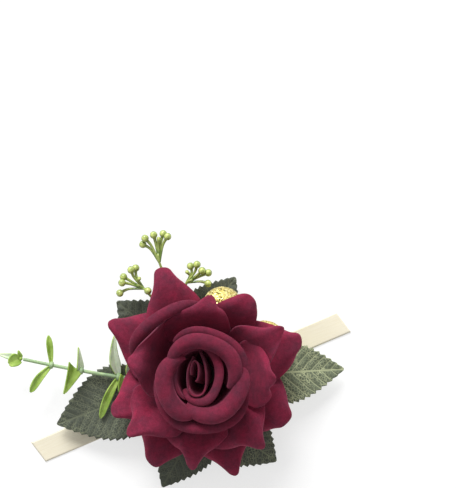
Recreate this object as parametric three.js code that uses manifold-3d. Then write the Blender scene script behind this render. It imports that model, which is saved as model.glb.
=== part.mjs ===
// A rose wrist corsage lying on its back: a flocked-velvet artificial rose with fabric leaves, a
// eucalyptus sprig, three berry sprays and two glitter balls, glued across a satin ribbon band with a felt
// pad behind it. Millimetres. +X runs along the ribbon, +Z out of the wrist through the flower, and the
// origin is the middle of the felt pad's underside.
import * as THREE from 'three';
import { mergeVertices } from 'three/addons/utils/BufferGeometryUtils.js';
import Module from 'manifold-3d';

const wasm = await Module();
wasm.setup();
const { degToRad, lerp, smoothstep } = THREE.MathUtils;

// Driving dimensions
const roseRadius = 44; // the flower's axis to the tips of its widest petals
const roseHeight = 36; // top of the calyx to the highest petal rim
const ribbonWidth = 10;
const ribbonLeftReach = 78; // the pad's middle to the cut end of each tail
const ribbonRightReach = 61.2;
const leafLength = 47;
const sprigReach = 80; // the pad's middle to the last knot of the eucalyptus stem
const ballRadius = 8.3;
const clearance = 0.3; // between pieces that touch in use

// Finishes
const velvet = { color: 0x6e1f33, roughness: 0.95, metalness: 0 };
const satin = { color: 0xeadfc4, roughness: 0.45, metalness: 0 };
const felt = { color: 0xe6dcc2, roughness: 1, metalness: 0 };
const printedLeaf = { color: 0x4c5345, roughness: 0.8, metalness: 0 };
const greenPlastic = { color: 0x5f7f3f, roughness: 0.5, metalness: 0 };
const sprigPlastic = { color: 0x9dbb62, roughness: 0.55, metalness: 0 };
const berryPlastic = { color: 0xb4c65a, roughness: 0.4, metalness: 0 };
const glitter = { color: 0xd9bf62, roughness: 0.35, metalness: 0.8 };
const wireSteel = { color: 0x7d8a6a, roughness: 0.4, metalness: 0.6 };
const glue = { color: 0xefe8d2, roughness: 0.25, metalness: 0 };
const foam = { color: 0x4f1626, roughness: 0.9, metalness: 0 };

// Solid geometry helpers

const weld = 1e-3; // corners nearer than this are one corner

function toSolid(geometry) {
  const bare = geometry.index ? geometry.toNonIndexed() : geometry.clone();
  for (const name of Object.keys(bare.attributes)) {
    if (name !== 'position') bare.deleteAttribute(name);
  }
  const merged = mergeVertices(bare, weld);
  return new wasm.Manifold(new wasm.Mesh({
    numProp: 3,
    vertProperties: merged.attributes.position.array,
    triVerts: new Uint32Array(merged.index.array),
  }));
}

function toGeometry(solid) {
  const mesh = solid.getMesh();
  const places = new Float32Array(mesh.numVert * 3);
  for (let i = 0; i < mesh.numVert; i++) {
    places.set(mesh.vertProperties.subarray(i * mesh.numProp, i * mesh.numProp + 3), i * 3);
  }
  const geometry = new THREE.BufferGeometry();
  geometry.setAttribute('position', new THREE.BufferAttribute(places, 3));
  geometry.setIndex(new THREE.BufferAttribute(new Uint32Array(mesh.triVerts), 1));
  geometry.computeVertexNormals();
  return geometry;
}

// A sheet of even thickness on a formed surface, closed round its edge. The surface takes u from -1 to 1
// across and v from 0 to 1 along. The sheet may run over its edges, by overAcross(v) in u, and in v by
// overStart and overEnd.
function sheet(surface, columns, rows, thickness, overAcross, overStart = 0, overEnd = overStart) {
  const nudge = 1e-3;
  const places = [];
  const share = (k, count, before, after) => k / count + (k === count ? after : 0) - (k === 0 ? before : 0);
  for (const side of [1, -1]) {
    for (let j = 0; j <= rows; j++) {
      const v = share(j, rows, overStart, overEnd);
      const over = overAcross(v) / 2;
      for (let i = 0; i <= columns; i++) {
        const u = 2 * share(i, columns, over, over) - 1;
        const across = surface(u + nudge, v).sub(surface(u - nudge, v));
        const along = surface(u, v + nudge).sub(surface(u, v - nudge));
        const normal = across.cross(along).normalize();
        places.push(surface(u, v).addScaledVector(normal, (side * thickness) / 2));
      }
    }
  }
  const wide = columns + 1;
  const skin = wide * (rows + 1);
  const faces = [];
  const quad = (a, b, c, d) => faces.push(a, b, c, a, c, d);
  for (let j = 0; j < rows; j++) {
    for (let i = 0; i < columns; i++) {
      const a = j * wide + i;
      quad(a, a + 1, a + 1 + wide, a + wide);
      quad(skin + a, skin + a + wide, skin + a + 1 + wide, skin + a + 1);
    }
    const left = j * wide;
    const right = left + columns;
    quad(left, left + wide, skin + left + wide, skin + left);
    quad(right + wide, right, skin + right, skin + right + wide);
  }
  for (let i = 0; i < columns; i++) {
    const far = rows * wide + i;
    quad(i + 1, i, skin + i, skin + i + 1);
    quad(far, far + 1, skin + far + 1, skin + far);
  }
  const geometry = new THREE.BufferGeometry().setFromPoints(places);
  geometry.setIndex(faces);
  return toSolid(geometry);
}

// A round rod through some points, tapering from one radius to another, with flat ends.
function rod(points, startRadius, endRadius, sides, steps, grow = 0) {
  const curve = new THREE.CatmullRomCurve3(points);
  const frames = curve.computeFrenetFrames(steps);
  const places = [];
  for (let j = 0; j <= steps; j++) {
    const radius = lerp(startRadius, endRadius, j / steps) + grow;
    const centre = curve.getPointAt(j / steps);
    if (j === 0) centre.addScaledVector(frames.tangents[j], -grow);
    if (j === steps) centre.addScaledVector(frames.tangents[j], grow);
    for (let i = 0; i < sides; i++) {
      const turn = (2 * Math.PI * i) / sides;
      places.push(centre.clone()
        .addScaledVector(frames.normals[j], radius * Math.cos(turn))
        .addScaledVector(frames.binormals[j], radius * Math.sin(turn)));
    }
  }
  const faces = [];
  for (let j = 0; j < steps; j++) {
    for (let i = 0; i < sides; i++) {
      const next = (i + 1) % sides;
      const a = j * sides;
      const b = a + sides;
      faces.push(a + i, a + next, b + next, a + i, b + next, b + i);
    }
  }
  for (let i = 1; i < sides - 1; i++) {
    const last = steps * sides;
    faces.push(0, i + 1, i, last, last + i, last + i + 1);
  }
  const geometry = new THREE.BufferGeometry().setFromPoints(places);
  geometry.setIndex(faces);
  return toSolid(geometry);
}

function ball(radius, centre, detail) {
  return toSolid(new THREE.IcosahedronGeometry(radius, detail).translate(centre.x, centre.y, centre.z));
}

// A turned piece about a vertical axis, from its radius and height pairs.
function turned(profile, sides) {
  const outline = profile.map(([radius, height]) => new THREE.Vector2(radius, height));
  const lathe = new THREE.LatheGeometry(outline, sides);
  lathe.rotateX(Math.PI / 2);
  return toSolid(lathe);
}

// Assembly: each piece gives way, by the clearance, to the pieces laid before it, as soft sheet does
// against what it rests on, and keeps its largest part.

const smoothing = 0.05; // facets flatter than this are merged
const laid = [];

function boxesMeet(a, b) {
  return [0, 1, 2].every((k) => a.min[k] < b.max[k] && b.min[k] < a.max[k]);
}

function largestPart(solid) {
  return solid.decompose().sort((a, b) => b.volume() - a.volume())[0];
}

function lay(name, finish, make) {
  let solid = make(0);
  for (const other of laid) {
    if (boxesMeet(solid.boundingBox(), other.kept.boundingBox())) solid = solid.subtract(other.kept);
  }
  const whole = largestPart(toSolid(toGeometry(largestPart(solid).simplify(smoothing))));
  laid.push({ name, finish, solid: whole, kept: make(clearance) });
}

// Heights of the stack, from the felt that lies on the wrist upwards
const padThickness = 1.5;
const padRadius = 22;
const layerGap = 0.1; // an adhesive film between flat layers
const ribbonThickness = 0.4;
const gluePuddleHeight = 3.6;
const calyxHeight = 6;
const ribbonBottom = padThickness + layerGap;
const ribbonTop = ribbonBottom + ribbonThickness;
const glueBottom = ribbonTop + layerGap;
const calyxBottom = glueBottom + gluePuddleHeight + clearance;
const calyxTop = calyxBottom + calyxHeight;
// The flower is glued a little off the pad's middle, across the ribbon.
const flowerShiftAlong = -0.6;
const flowerShiftAcross = 4.9;
const axisShift = new THREE.Vector3(flowerShiftAlong, flowerShiftAcross, 0);

// The felt pad and the satin ribbon

function feltPad(grow) {
  const pad = new THREE.CylinderGeometry(padRadius + grow, padRadius + grow, padThickness, 36);
  pad.rotateX(Math.PI / 2).translate(0, 0, padThickness / 2);
  return toSolid(pad);
}

// The ribbon folds just outside the pad, where each tail turns down round the wrist.
const foldBeyondPad = 1.6;
const foldReach = padRadius + foldBeyondPad;
const endSlant = 2.5; // how far one corner of the cut end leads the other
const tailRestHeight = 0.05; // the cut end just clears the table
const foldGap = 0.3;

function ribbonMiddle(grow) {
  const middle = new THREE.BoxGeometry(2 * (foldReach + grow), ribbonWidth + 2 * grow, ribbonThickness);
  return toSolid(middle.translate(0, 0, ribbonBottom + ribbonThickness / 2));
}

// A tail droops from the fold to the table in an easy curve, then lies flat to its slanted end.
function ribbonTail(side, reach) {
  return (grow) => {
    const surface = (u, v) => {
      const start = foldReach + foldGap;
      const slant = (-endSlant / 2) * u * v;
      const along = lerp(start, reach, v) + slant;
      const droop = smoothstep(v, 0, 0.45);
      const height = lerp(ribbonBottom, tailRestHeight, droop) + ribbonThickness / 2;
      return new THREE.Vector3(side * along, (side * u * ribbonWidth) / 2, height);
    };
    return sheet(surface, 2, 10, ribbonThickness + 2 * grow, () => (2 * grow) / ribbonWidth, grow / reach);
  };
}

// Calyx, post and bud core

const postRadius = 4.6;
const postHeight = 9.5;
const spigotRadius = 2.6;
const spigotDepth = 3;
const calyxNeckRadius = 4.2;
const calyxRadius = 7.2;
const sepalLength = 13;
const sepalWidth = 5.5;
const sepalThickness = 0.7;
const sepalDroop = 3;
const sepalCount = 5;

function flowerPost(grow) {
  const profile = [
    [0, calyxTop - spigotDepth - grow],
    [spigotRadius + grow, calyxTop - spigotDepth - grow],
    [spigotRadius + grow, calyxTop + clearance - grow],
    [postRadius + grow, calyxTop + clearance - grow],
    [postRadius + grow, calyxTop + postHeight + grow],
    [0, calyxTop + postHeight + grow],
  ];
  return turned(profile, 20).translate(axisShift.toArray());
}

const coreRadius = 3.1;
const coreTipRadius = 1;
const coreHeight = 13;
const coreBottom = calyxTop + postHeight + clearance;

function budCore(grow) {
  const profile = [
    [0, coreBottom - grow],
    [coreRadius + grow, coreBottom - grow],
    [coreRadius + grow, coreBottom + coreHeight / 3],
    [coreTipRadius + grow, coreBottom + coreHeight + grow],
    [0, coreBottom + coreHeight + grow],
  ];
  return turned(profile, 12).translate(axisShift.toArray());
}

function calyx(grow) {
  const profile = [
    [0, calyxBottom - grow],
    [calyxNeckRadius + grow, calyxBottom - grow],
    [calyxRadius + grow, calyxBottom + calyxHeight / 2],
    [calyxRadius + grow, calyxTop - sepalThickness + grow],
    [calyxNeckRadius + grow, calyxTop + grow],
    [0, calyxTop + grow],
  ];
  let cup = turned(profile, 15);
  for (let k = 0; k < sepalCount; k++) {
    const turn = (2 * Math.PI * k) / sepalCount + Math.PI / 2;
    const surface = (u, v) => {
      const out = calyxRadius / 2 + v * sepalLength;
      const half = (sepalWidth / 2) * (1 - v * v) + sepalThickness / 2;
      const height = calyxTop - sepalThickness - sepalDroop * v * v;
      const place = new THREE.Vector3(out, u * half, height);
      return place.applyAxisAngle(new THREE.Vector3(0, 0, 1), turn);
    };
    const overAcross = () => (2 * grow) / sepalThickness;
    cup = cup.add(sheet(surface, 2, 3, sepalThickness + 2 * grow, overAcross, grow / sepalLength));
  }
  return cup.translate(axisShift.toArray());
}

// Petals. Each is a heat-formed sheet of flocked velvet. Its midline leaves the post, bellies out through
// the bowl of the flower, and turns back at its lip.

const petalThickness = 0.8;
const petalSeatRadius = postRadius + clearance + petalThickness / 2;
const petalSeatHalfWidth = 2.6;
const layerStep = 1.15; // height from one petal's seat to the next layer's
const pinwheel = 1.6; // how far one flank of a petal stands in front of the other
const flatShare = 0.35; // of the half width, before a flank starts to bend
const tipRoundShare = 0.07; // of the midline, by which the tip's corners are cut back

// The width of the cut petal on one side of its midline, in millimetres.
function cutHalfWidth(shape, u, v) {
  const half = roseRadius * (u < 0 ? shape.halfWidth[0] : shape.halfWidth[1]);
  const t = THREE.MathUtils.clamp(v, 0, 1);
  if (t < shape.widest) {
    return lerp(petalSeatHalfWidth, half, Math.sin(((t / shape.widest) * Math.PI) / 2) ** 1.2);
  }
  const past = (t - shape.widest) / (1 - shape.widest);
  return lerp(half, roseRadius * shape.blunt, past ** shape.point);
}

function petalSurface(shape, seat) {
  const midline = new THREE.CubicBezierCurve(
    new THREE.Vector2(petalSeatRadius, seat),
    new THREE.Vector2(roseRadius * shape.bowl[0], calyxTop + roseHeight * shape.bowl[1]),
    new THREE.Vector2(roseRadius * shape.lip[0], calyxTop + roseHeight * shape.lip[1]),
    new THREE.Vector2(roseRadius * shape.tip[0], calyxTop + roseHeight * shape.tip[1]),
  );
  const [leftRoll, rightRoll] = shape.roll;
  const azimuth = degToRad(shape.azimuth);
  return (u, v) => {
    const along = v - tipRoundShare * u * u * smoothstep(v, 0.55, 1);
    const centre = midline.getPoint(along);
    const direction = midline.getTangent(THREE.MathUtils.clamp(along, 0, 1));
    const rolled = smoothstep(along, 0.3, 1);
    const roll = degToRad(lerp(-shape.cup, u < 0 ? leftRoll : rightRoll, rolled));
    const bend = Math.abs(roll) < 1e-3 ? 1e-3 : roll;
    const half = cutHalfWidth(shape, u, along);
    const bent = Math.max(Math.abs(u) - flatShare, 0) / (1 - flatShare);
    const across = Math.min(Math.abs(u), flatShare) + ((1 - flatShare) * Math.sin(bend * bent)) / bend;
    const back = ((1 - flatShare) * (1 - Math.cos(bend * bent))) / bend;
    const lift = pinwheel * u * smoothstep(v, 0, 0.4) - half * back;
    const out = centre.x - direction.y * lift;
    const height = centre.y + direction.x * lift;
    const lean = azimuth + degToRad(shape.lean) * v * v;
    return new THREE.Vector3(out, Math.sign(u) * half * across, height)
      .applyAxisAngle(new THREE.Vector3(0, 0, 1), lean)
      .add(axisShift);
  };
}

// One row for each petal: the outer ones anticlockwise from the ribbon's +X end, and the middle ones
// clockwise from it, so that each of these lies over the next. The midline runs from the post by its bowl
// and lip to its tip, each a share of the flower's radius and then of its height. The half widths of its
// right and left flank and of its blunt tip are shares of the radius. Azimuth, lean, cup and roll are in
// degrees: the base is cupped, and the tip's two flanks roll back, or forwards where roll is negative.
// Widest is the share of the midline at which the sheet is widest, and point the power by which it narrows
// from there.
const outerPetalShares = [
  { azimuth: -7, lean: 3, cup: 20, roll: [130, 130], widest: 0.45, point: 1, blunt: 0.1,
    halfWidth: [0.27, 0.36], bowl: [0.5, 0.02], lip: [0.78, 0.56], tip: [0.96, 0.34] },
  { azimuth: 35, lean: 0, cup: 15, roll: [90, 80], widest: 0.5, point: 1.1, blunt: 0.1,
    halfWidth: [0.19, 0.28], bowl: [0.5, 0.05], lip: [0.62, 0.62], tip: [0.85, 0.46] },
  { azimuth: 88.5, lean: 0, cup: 10, roll: [140, 140], widest: 0.42, point: 1, blunt: 0.1,
    halfWidth: [0.25, 0.36], bowl: [0.5, 0], lip: [0.8, 0.4], tip: [1.05, 0.2] },
  { azimuth: 128, lean: 0, cup: 10, roll: [140, 140], widest: 0.42, point: 1, blunt: 0.05,
    halfWidth: [0.34, 0.34], bowl: [0.5, 0], lip: [0.75, 0.3], tip: [0.99, 0.22] },
  { azimuth: 180, lean: 0, cup: 10, roll: [130, 130], widest: 0.42, point: 1, blunt: 0.08,
    halfWidth: [0.34, 0.32], bowl: [0.5, 0], lip: [0.7, 0.3], tip: [0.92, 0.16] },
  { azimuth: 217, lean: 0, cup: 10, roll: [120, 120], widest: 0.42, point: 1.2, blunt: 0.1,
    halfWidth: [0.34, 0.3], bowl: [0.5, 0], lip: [0.78, 0.3], tip: [0.98, 0.1] },
  { azimuth: 264, lean: 0, cup: 10, roll: [140, 140], widest: 0.42, point: 1, blunt: 0.05,
    halfWidth: [0.36, 0.34], bowl: [0.5, 0], lip: [0.78, 0.3], tip: [1, 0.12] },
  { azimuth: 307, lean: 0, cup: 10, roll: [110, 110], widest: 0.45, point: 1.2, blunt: 0.12,
    halfWidth: [0.29, 0.36], bowl: [0.5, 0], lip: [0.75, 0.34], tip: [0.91, 0.16] },
];
const middlePetalShares = [
  { azimuth: 334, lean: 0, cup: 35, roll: [120, 105], widest: 0.5, point: 1.2, blunt: 0.05,
    halfWidth: [0.27, 0.36], bowl: [0.5, 0.2], lip: [0.5, 0.86], tip: [0.66, 0.66] },
  { azimuth: 286, lean: 0, cup: 30, roll: [135, 135], widest: 0.5, point: 1, blunt: 0.05,
    halfWidth: [0.36, 0.3], bowl: [0.5, 0.2], lip: [0.62, 0.66], tip: [0.87, 0.38] },
  { azimuth: 240, lean: 0, cup: 30, roll: [140, 140], widest: 0.5, point: 0.9, blunt: 0.05,
    halfWidth: [0.3, 0.3], bowl: [0.5, 0.2], lip: [0.6, 0.66], tip: [0.87, 0.36] },
  { azimuth: 195, lean: 0, cup: 30, roll: [140, 130], widest: 0.5, point: 1, blunt: 0.05,
    halfWidth: [0.29, 0.3], bowl: [0.5, 0.2], lip: [0.6, 0.7], tip: [0.87, 0.42] },
  { azimuth: 142, lean: 0, cup: 35, roll: [-40, 90], widest: 0.5, point: 1, blunt: 0.05,
    halfWidth: [0.56, 0.3], bowl: [0.52, 0.2], lip: [0.42, 0.92], tip: [0.68, 0.7] },
  { azimuth: 60, lean: 0, cup: 30, roll: [130, 80], widest: 0.4, point: 1, blunt: 0.05,
    halfWidth: [0.21, 0.48], bowl: [0.5, 0.2], lip: [0.48, 0.95], tip: [0.74, 0.66] },
  { azimuth: 3, lean: 5, cup: 35, roll: [-10, 125], widest: 0.5, point: 1.2, blunt: 0.05,
    halfWidth: [0.22, 0.26], bowl: [0.55, 0.15], lip: [0.5, 0.85], tip: [0.86, 0.66] },
];

function layPetals(prefix, table, firstSeat, columns, rows) {
  table.forEach((shape, k) => {
    const seat = firstSeat + (k % 2) * layerStep;
    const surface = petalSurface(shape, seat);
    lay(prefix + (k + 1), velvet, (grow) => {
      const overAcross = (v) => grow / Math.min(cutHalfWidth(shape, -1, v), cutHalfWidth(shape, 1, v));
      return sheet(surface, columns, rows, petalThickness + 2 * grow, overAcross, grow / roseRadius);
    });
  });
}

// Cup petals wrap round the bud. Each wall stands on the post, and its rim rolls outwards.

const wallShare = 0.34; // of the sheet's rows, below the rolled lip
const lipTaperShare = 0.75; // by which the lip is smaller at the ends of the wrap
const budAzimuth = 67; // the squeezed bud's long way, in degrees
const budLeanAzimuth = 112; // the way that the bud leans, in degrees

// A wall's distance from the flower's axis at v, below its lip.
function wallRadius(shape, seatRadius, v) {
  const t = THREE.MathUtils.clamp(v / wallShare, 0, 1);
  return lerp(seatRadius, roseRadius * shape.radius, Math.sin((t * Math.PI) / 2));
}

function cupSurface(shape, seat, seatRadius) {
  const radius = roseRadius * shape.radius;
  const lipRadius = roseRadius * shape.lip;
  const rim = calyxTop + roseHeight * shape.rim;
  return (u, v) => {
    const turn = degToRad(shape.azimuth + shape.span * u - budAzimuth);
    const wrap = radius + pinwheel * shape.wind * u;
    const long = wrap * (1 + shape.squeeze);
    const narrow = wrap * (1 - shape.squeeze) * (1 - shape.taper * Math.cos(turn));
    const lip = lipRadius * (1 - lipTaperShare * Math.min(Math.abs(u), 1) ** 4);
    const top = rim - roseHeight * shape.drop * Math.abs(u) ** 3 - lip;
    const t = Math.min(v / wallShare, 1);
    const curl = Math.max((v - wallShare) / (1 - wallShare), 0) * degToRad(shape.curl);
    const spread = Math.sin((t * Math.PI) / 2);
    const lipOut = lip * (1 - Math.cos(curl));
    const height = lerp(seat, top, t * t * 0.35 + t * 0.65) + lip * Math.sin(curl);
    const upright = new THREE.Vector3(0, 0, 1);
    const lean = new THREE.Vector3(roseRadius * shape.lean * t, 0, 0)
      .applyAxisAngle(upright, degToRad(budLeanAzimuth));
    return new THREE.Vector3(
      Math.cos(turn) * (lerp(seatRadius, long, spread) + lipOut),
      Math.sin(turn) * (lerp(seatRadius, narrow, spread) + lipOut),
      height,
    ).applyAxisAngle(upright, degToRad(budAzimuth)).add(lean).add(axisShift);
  };
}

// Azimuth and span, each side of it, are in degrees, and so is the lip's curl. The wrap's radius, the lip's
// and the rim's lean are shares of the flower's radius, and the rim's height and its drop towards the ends
// are shares of the flower's height. Squeeze makes the wrap an oval, and taper narrows the oval's one end.
const budPetalShares = [
  { azimuth: 30, span: 140, radius: 0.065, lip: 0.015, rim: 0.84, squeeze: 0.48, taper: 0, wind: 0.3,
    drop: 0.02, curl: 60, lean: 0.08 },
  { azimuth: 250, span: 152, radius: 0.14, lip: 0.015, rim: 0.86, squeeze: 0.42, taper: 0.3, wind: 0.4,
    drop: 0.06, curl: 60, lean: 0.065 },
  { azimuth: 320, span: 125, radius: 0.19, lip: 0.042, rim: 0.88, squeeze: 0.17, taper: 0, wind: 0.5,
    drop: 0.1, curl: 130, lean: 0.05 },
  { azimuth: 138, span: 84, radius: 0.215, lip: 0.02, rim: 0.86, squeeze: 0.12, taper: 0, wind: 0.5,
    drop: 0.1, curl: 90, lean: 0.05 },
];
const cupPetalShares = [
  { azimuth: 45, span: 87, radius: 0.27, lip: 0.07, rim: 1, squeeze: 0, taper: 0, wind: 0.8,
    drop: 0.12, curl: 150, lean: 0 },
  { azimuth: 172, span: 68, radius: 0.26, lip: 0.08, rim: 0.97, squeeze: 0, taper: 0, wind: 0.8,
    drop: 0.12, curl: 150, lean: 0 },
  { azimuth: 292, span: 76, radius: 0.275, lip: 0.075, rim: 0.96, squeeze: 0, taper: 0, wind: 0.8,
    drop: 0.12, curl: 150, lean: 0 },
];
const rimPetalShares = [
  { azimuth: 35, span: 70, radius: 0.365, lip: 0.055, rim: 0.92, squeeze: 0, taper: 0, wind: 0.8,
    drop: 0.15, curl: 130, lean: 0 },
  { azimuth: 235, span: 85, radius: 0.39, lip: 0.06, rim: 0.84, squeeze: 0, taper: 0, wind: 0.8,
    drop: 0.2, curl: 130, lean: 0 },
  { azimuth: 104, span: 37, radius: 0.62, lip: 0.055, rim: 0.74, squeeze: 0, taper: 0, wind: 0.2,
    drop: 0.25, curl: 150, lean: 0 },
];

// The bud's four petals wrap the core, the first round its tip. The cup and rim petals sit on the post.
const wrapStep = petalThickness + clearance;
const budSeatRadius = coreRadius + clearance + petalThickness / 2;
const heartSeatRadius = lerp(coreRadius, coreTipRadius, 0.55) + wrapStep;
const budSeatRadii = [heartSeatRadius, ...[0, 1, 2].map((count) => budSeatRadius + count * wrapStep)];
const budSeat = coreBottom + wrapStep;
const budSeats = [coreBottom + coreHeight * 0.62, budSeat, budSeat, budSeat];
const cupSeats = [7, 6, 5].map((count) => calyxTop + count * layerStep);
const rimSeats = [4.5, 4, 3.5].map((count) => calyxTop + count * layerStep);

function layCups(prefix, table, seats, seatRadii, columns, rows) {
  table.forEach((shape, k) => {
    const surface = cupSurface(shape, seats[k], seatRadii[k]);
    const lipLength = roseRadius * shape.lip * degToRad(shape.curl);
    lay(prefix + (k + 1), velvet, (grow) => {
      const thickness = petalThickness + 2 * grow;
      const overAcross = (v) => grow / (degToRad(shape.span) * wallRadius(shape, seatRadii[k], v));
      const overStart = grow / roseHeight;
      const overEnd = (grow * (1 - wallShare)) / lipLength;
      return sheet(surface, columns, rows, thickness, overAcross, overStart, overEnd);
    });
  });
}

// Fabric leaves with a moulded rib behind each

const leafThickness = 0.5;
const leafToothDepth = 1;
const leafTeeth = 18;
const leafRibRadius = 0.6;
const leafFold = 1; // how far the margins stand above the midrib
const leafArch = 1.2; // how far the middle of the blade stands above its ends
const leafBaseHeight = 4.4;

// Each leaf's heading in degrees, and, as shares of the leaf's length, its tip's place, its length and its
// half width. How far its blade is raised is a share of the glue puddle's height.
const leafShares = [
  { azimuth: 177.5, tip: [-1.39, 0.17], length: 1, halfWidth: 0.335, raised: 0.25 },
  { azimuth: -20, tip: [1.135, -0.373], length: 0.92, halfWidth: 0.28, raised: 0.25 },
  { azimuth: 117, tip: [-0.479, 0.962], length: 0.85, halfWidth: 0.31, raised: 0 },
  { azimuth: 31, tip: [0.569, 0.748], length: 0.72, halfWidth: 0.26, raised: 0 },
  { azimuth: 218, tip: [-0.751, -0.707], length: 0.85, halfWidth: 0.29, raised: 0 },
  { azimuth: 301, tip: [0.264, -0.891], length: 0.78, halfWidth: 0.31, raised: 0 },
];

// Along from the tip backwards, sideways from the midrib, and height
function leafPlace(shape, back, sideways, height) {
  const tip = new THREE.Vector3(shape.tip[0], shape.tip[1], 0).multiplyScalar(leafLength);
  return new THREE.Vector3(-back, sideways, height)
    .applyAxisAngle(new THREE.Vector3(0, 0, 1), degToRad(shape.azimuth))
    .add(tip);
}

function leafHeight(shape, t) {
  return leafBaseHeight + gluePuddleHeight * shape.raised + leafArch * Math.sin(Math.PI * t);
}

function leafHalfWidth(shape, t) {
  return leafLength * shape.halfWidth * Math.sin(Math.PI * t ** 0.8) ** 0.92 + leafThickness / 2;
}

function leafBlade(shape) {
  const length = leafLength * shape.length;
  const widest = leafLength * shape.halfWidth;
  const surface = (u, v) => {
    const t = THREE.MathUtils.clamp(v, 0, 1);
    const row = t * leafTeeth * 2;
    const tooth = 1 - Math.abs((row % 2) - 1);
    const half = leafHalfWidth(shape, t);
    const notch = leafToothDepth * Math.min(1, (2 * half) / widest);
    const edge = half - notch * (1 - tooth);
    const back = length * (1 - v) - notch * tooth * u * u;
    const height = leafHeight(shape, t) + (leafFold * half * u * u) / widest;
    return leafPlace(shape, back, u * edge, height);
  };
  return (grow) => {
    const overAcross = (v) => grow / leafHalfWidth(shape, THREE.MathUtils.clamp(v, 0, 1));
    return sheet(surface, 2, leafTeeth * 2, leafThickness + 2 * grow, overAcross, grow / length);
  };
}

const ribRootReach = 6; // the ribs end inside the glue
const ribEndShare = 0.7;

function leafRib(shape) {
  const length = leafLength * shape.length;
  return (grow) => {
    const under = leafThickness / 2 + leafRibRadius + clearance;
    const start = leafPlace(shape, length, 0, leafHeight(shape, 0) - under);
    const root = start.clone().setZ(0).setLength(ribRootReach).setZ(start.z);
    const points = [root, start];
    for (const t of [0.35, ribEndShare]) {
      points.push(leafPlace(shape, length * (1 - t), 0, leafHeight(shape, t) - under));
    }
    return rod(points, leafRibRadius, leafRibRadius / 2, 6, 5, grow);
  };
}

// Eucalyptus sprig: moulded leaf pairs threaded on a wired stem

const stemRadius = 0.7;
const stemRootShare = 1.15; // of the far end's radius, at the stem's root
const collarLength = 1.6;
const collarWall = 0.45;
const sprigLeafThickness = 0.5;
const sprigRise = 11; // height of the stem's far end
const sprigRootHeight = 4.6;

// The stem's points as shares of its reach, from the glue outwards; its height follows the distance out.
const sprigStemShares = [
  [-0.06, -0.01], [-0.21, 0.08], [-0.38, 0.18], [-0.503, 0.256], [-0.61, 0.327], [-0.711, 0.395],
  [-0.834, 0.481],
];

function sprigPoint([x, y]) {
  const far = Math.hypot(x, y);
  const height = lerp(sprigRootHeight, sprigRise, Math.sin((far * Math.PI) / 2));
  return new THREE.Vector3(x * sprigReach, y * sprigReach, height);
}

const sprigCurve = new THREE.CatmullRomCurve3(sprigStemShares.map(sprigPoint));

// Each knot's place along the stem as a share, and its leaves. Azimuth, pitch and the twist about the leaf's
// own length are in degrees, and the length and half width are shares of the sprig's reach. Widest is the
// share of the length at which the leaf is widest, root and blunt the shares of that width which its two
// ends keep, and point the power by which it narrows. Shift moves its root and its middle to the left, by
// shares of its length.
const sprigKnotShares = [
  { at: 0.405, leaves: [
    { azimuth: 215, pitch: 10, twist: -20, length: 0.085, halfWidth: 0.027,
      root: 0.9, widest: 0.2, point: 1.6, blunt: 0.15, shift: [-0.3, 0] },
    { azimuth: 60, pitch: 6, twist: 20, length: 0.1, halfWidth: 0.022,
      root: 0.4, widest: 0.4, point: 1.5, blunt: 0.1, shift: [0, 0] }] },
  { at: 0.465, leaves: [
    { azimuth: 69, pitch: 12, twist: 20, length: 0.205, halfWidth: 0.026,
      root: 0.5, widest: 0.33, point: 1.2, blunt: 0.12, shift: [0, 0.08] },
    { azimuth: 226, pitch: 4, twist: -20, length: 0.222, halfWidth: 0.021,
      root: 0.5, widest: 0.45, point: 2.5, blunt: 0.35, shift: [0, -0.05] }] },
  { at: 0.668, leaves: [
    { azimuth: 215, pitch: 20, twist: -35, length: 0.14, halfWidth: 0.05,
      root: 1, widest: 0, point: 1, blunt: 0.08, shift: [-0.34, 0] },
    { azimuth: 67, pitch: 20, twist: 40, length: 0.12, halfWidth: 0.02,
      root: 0.9, widest: 0.15, point: 1, blunt: 0.1, shift: [0.06, 0] }] },
  { at: 0.835, leaves: [
    { azimuth: 69, pitch: 15, twist: 20, length: 0.147, halfWidth: 0.015,
      root: 0.4, widest: 0.66, point: 2, blunt: 0.25, shift: [0, 0] },
    { azimuth: 212, pitch: 10, twist: -20, length: 0.165, halfWidth: 0.0195,
      root: 0.4, widest: 0.6, point: 2.2, blunt: 0.35, shift: [0, -0.07] }] },
];
const sprigTipShares = [
  { azimuth: 145, pitch: 5, twist: 10, length: 0.112, halfWidth: 0.0145,
    root: 0.5, widest: 0.4, point: 1.2, blunt: 0.1, shift: [0, 0] },
  { azimuth: 182, pitch: 30, twist: -10, length: 0.063, halfWidth: 0.032,
    root: 0.6, widest: 0.45, point: 1.8, blunt: 0.45, shift: [0, -0.12] },
  { azimuth: 76, pitch: 30, twist: 20, length: 0.045, halfWidth: 0.012,
    root: 0.6, widest: 0.3, point: 1, blunt: 0.1, shift: [0, 0] },
];

function sprigStem(grow) {
  return rod(sprigCurve.getPoints(8), stemRadius * stemRootShare, stemRadius, 7, 10, grow);
}

function sprigLeafHalfWidth(shape, t) {
  const half = sprigReach * shape.halfWidth;
  if (t < shape.widest) {
    return half * lerp(shape.root, 1, Math.sin(((t / shape.widest) * Math.PI) / 2));
  }
  return half * lerp(1, shape.blunt, ((t - shape.widest) / (1 - shape.widest)) ** shape.point);
}

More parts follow.
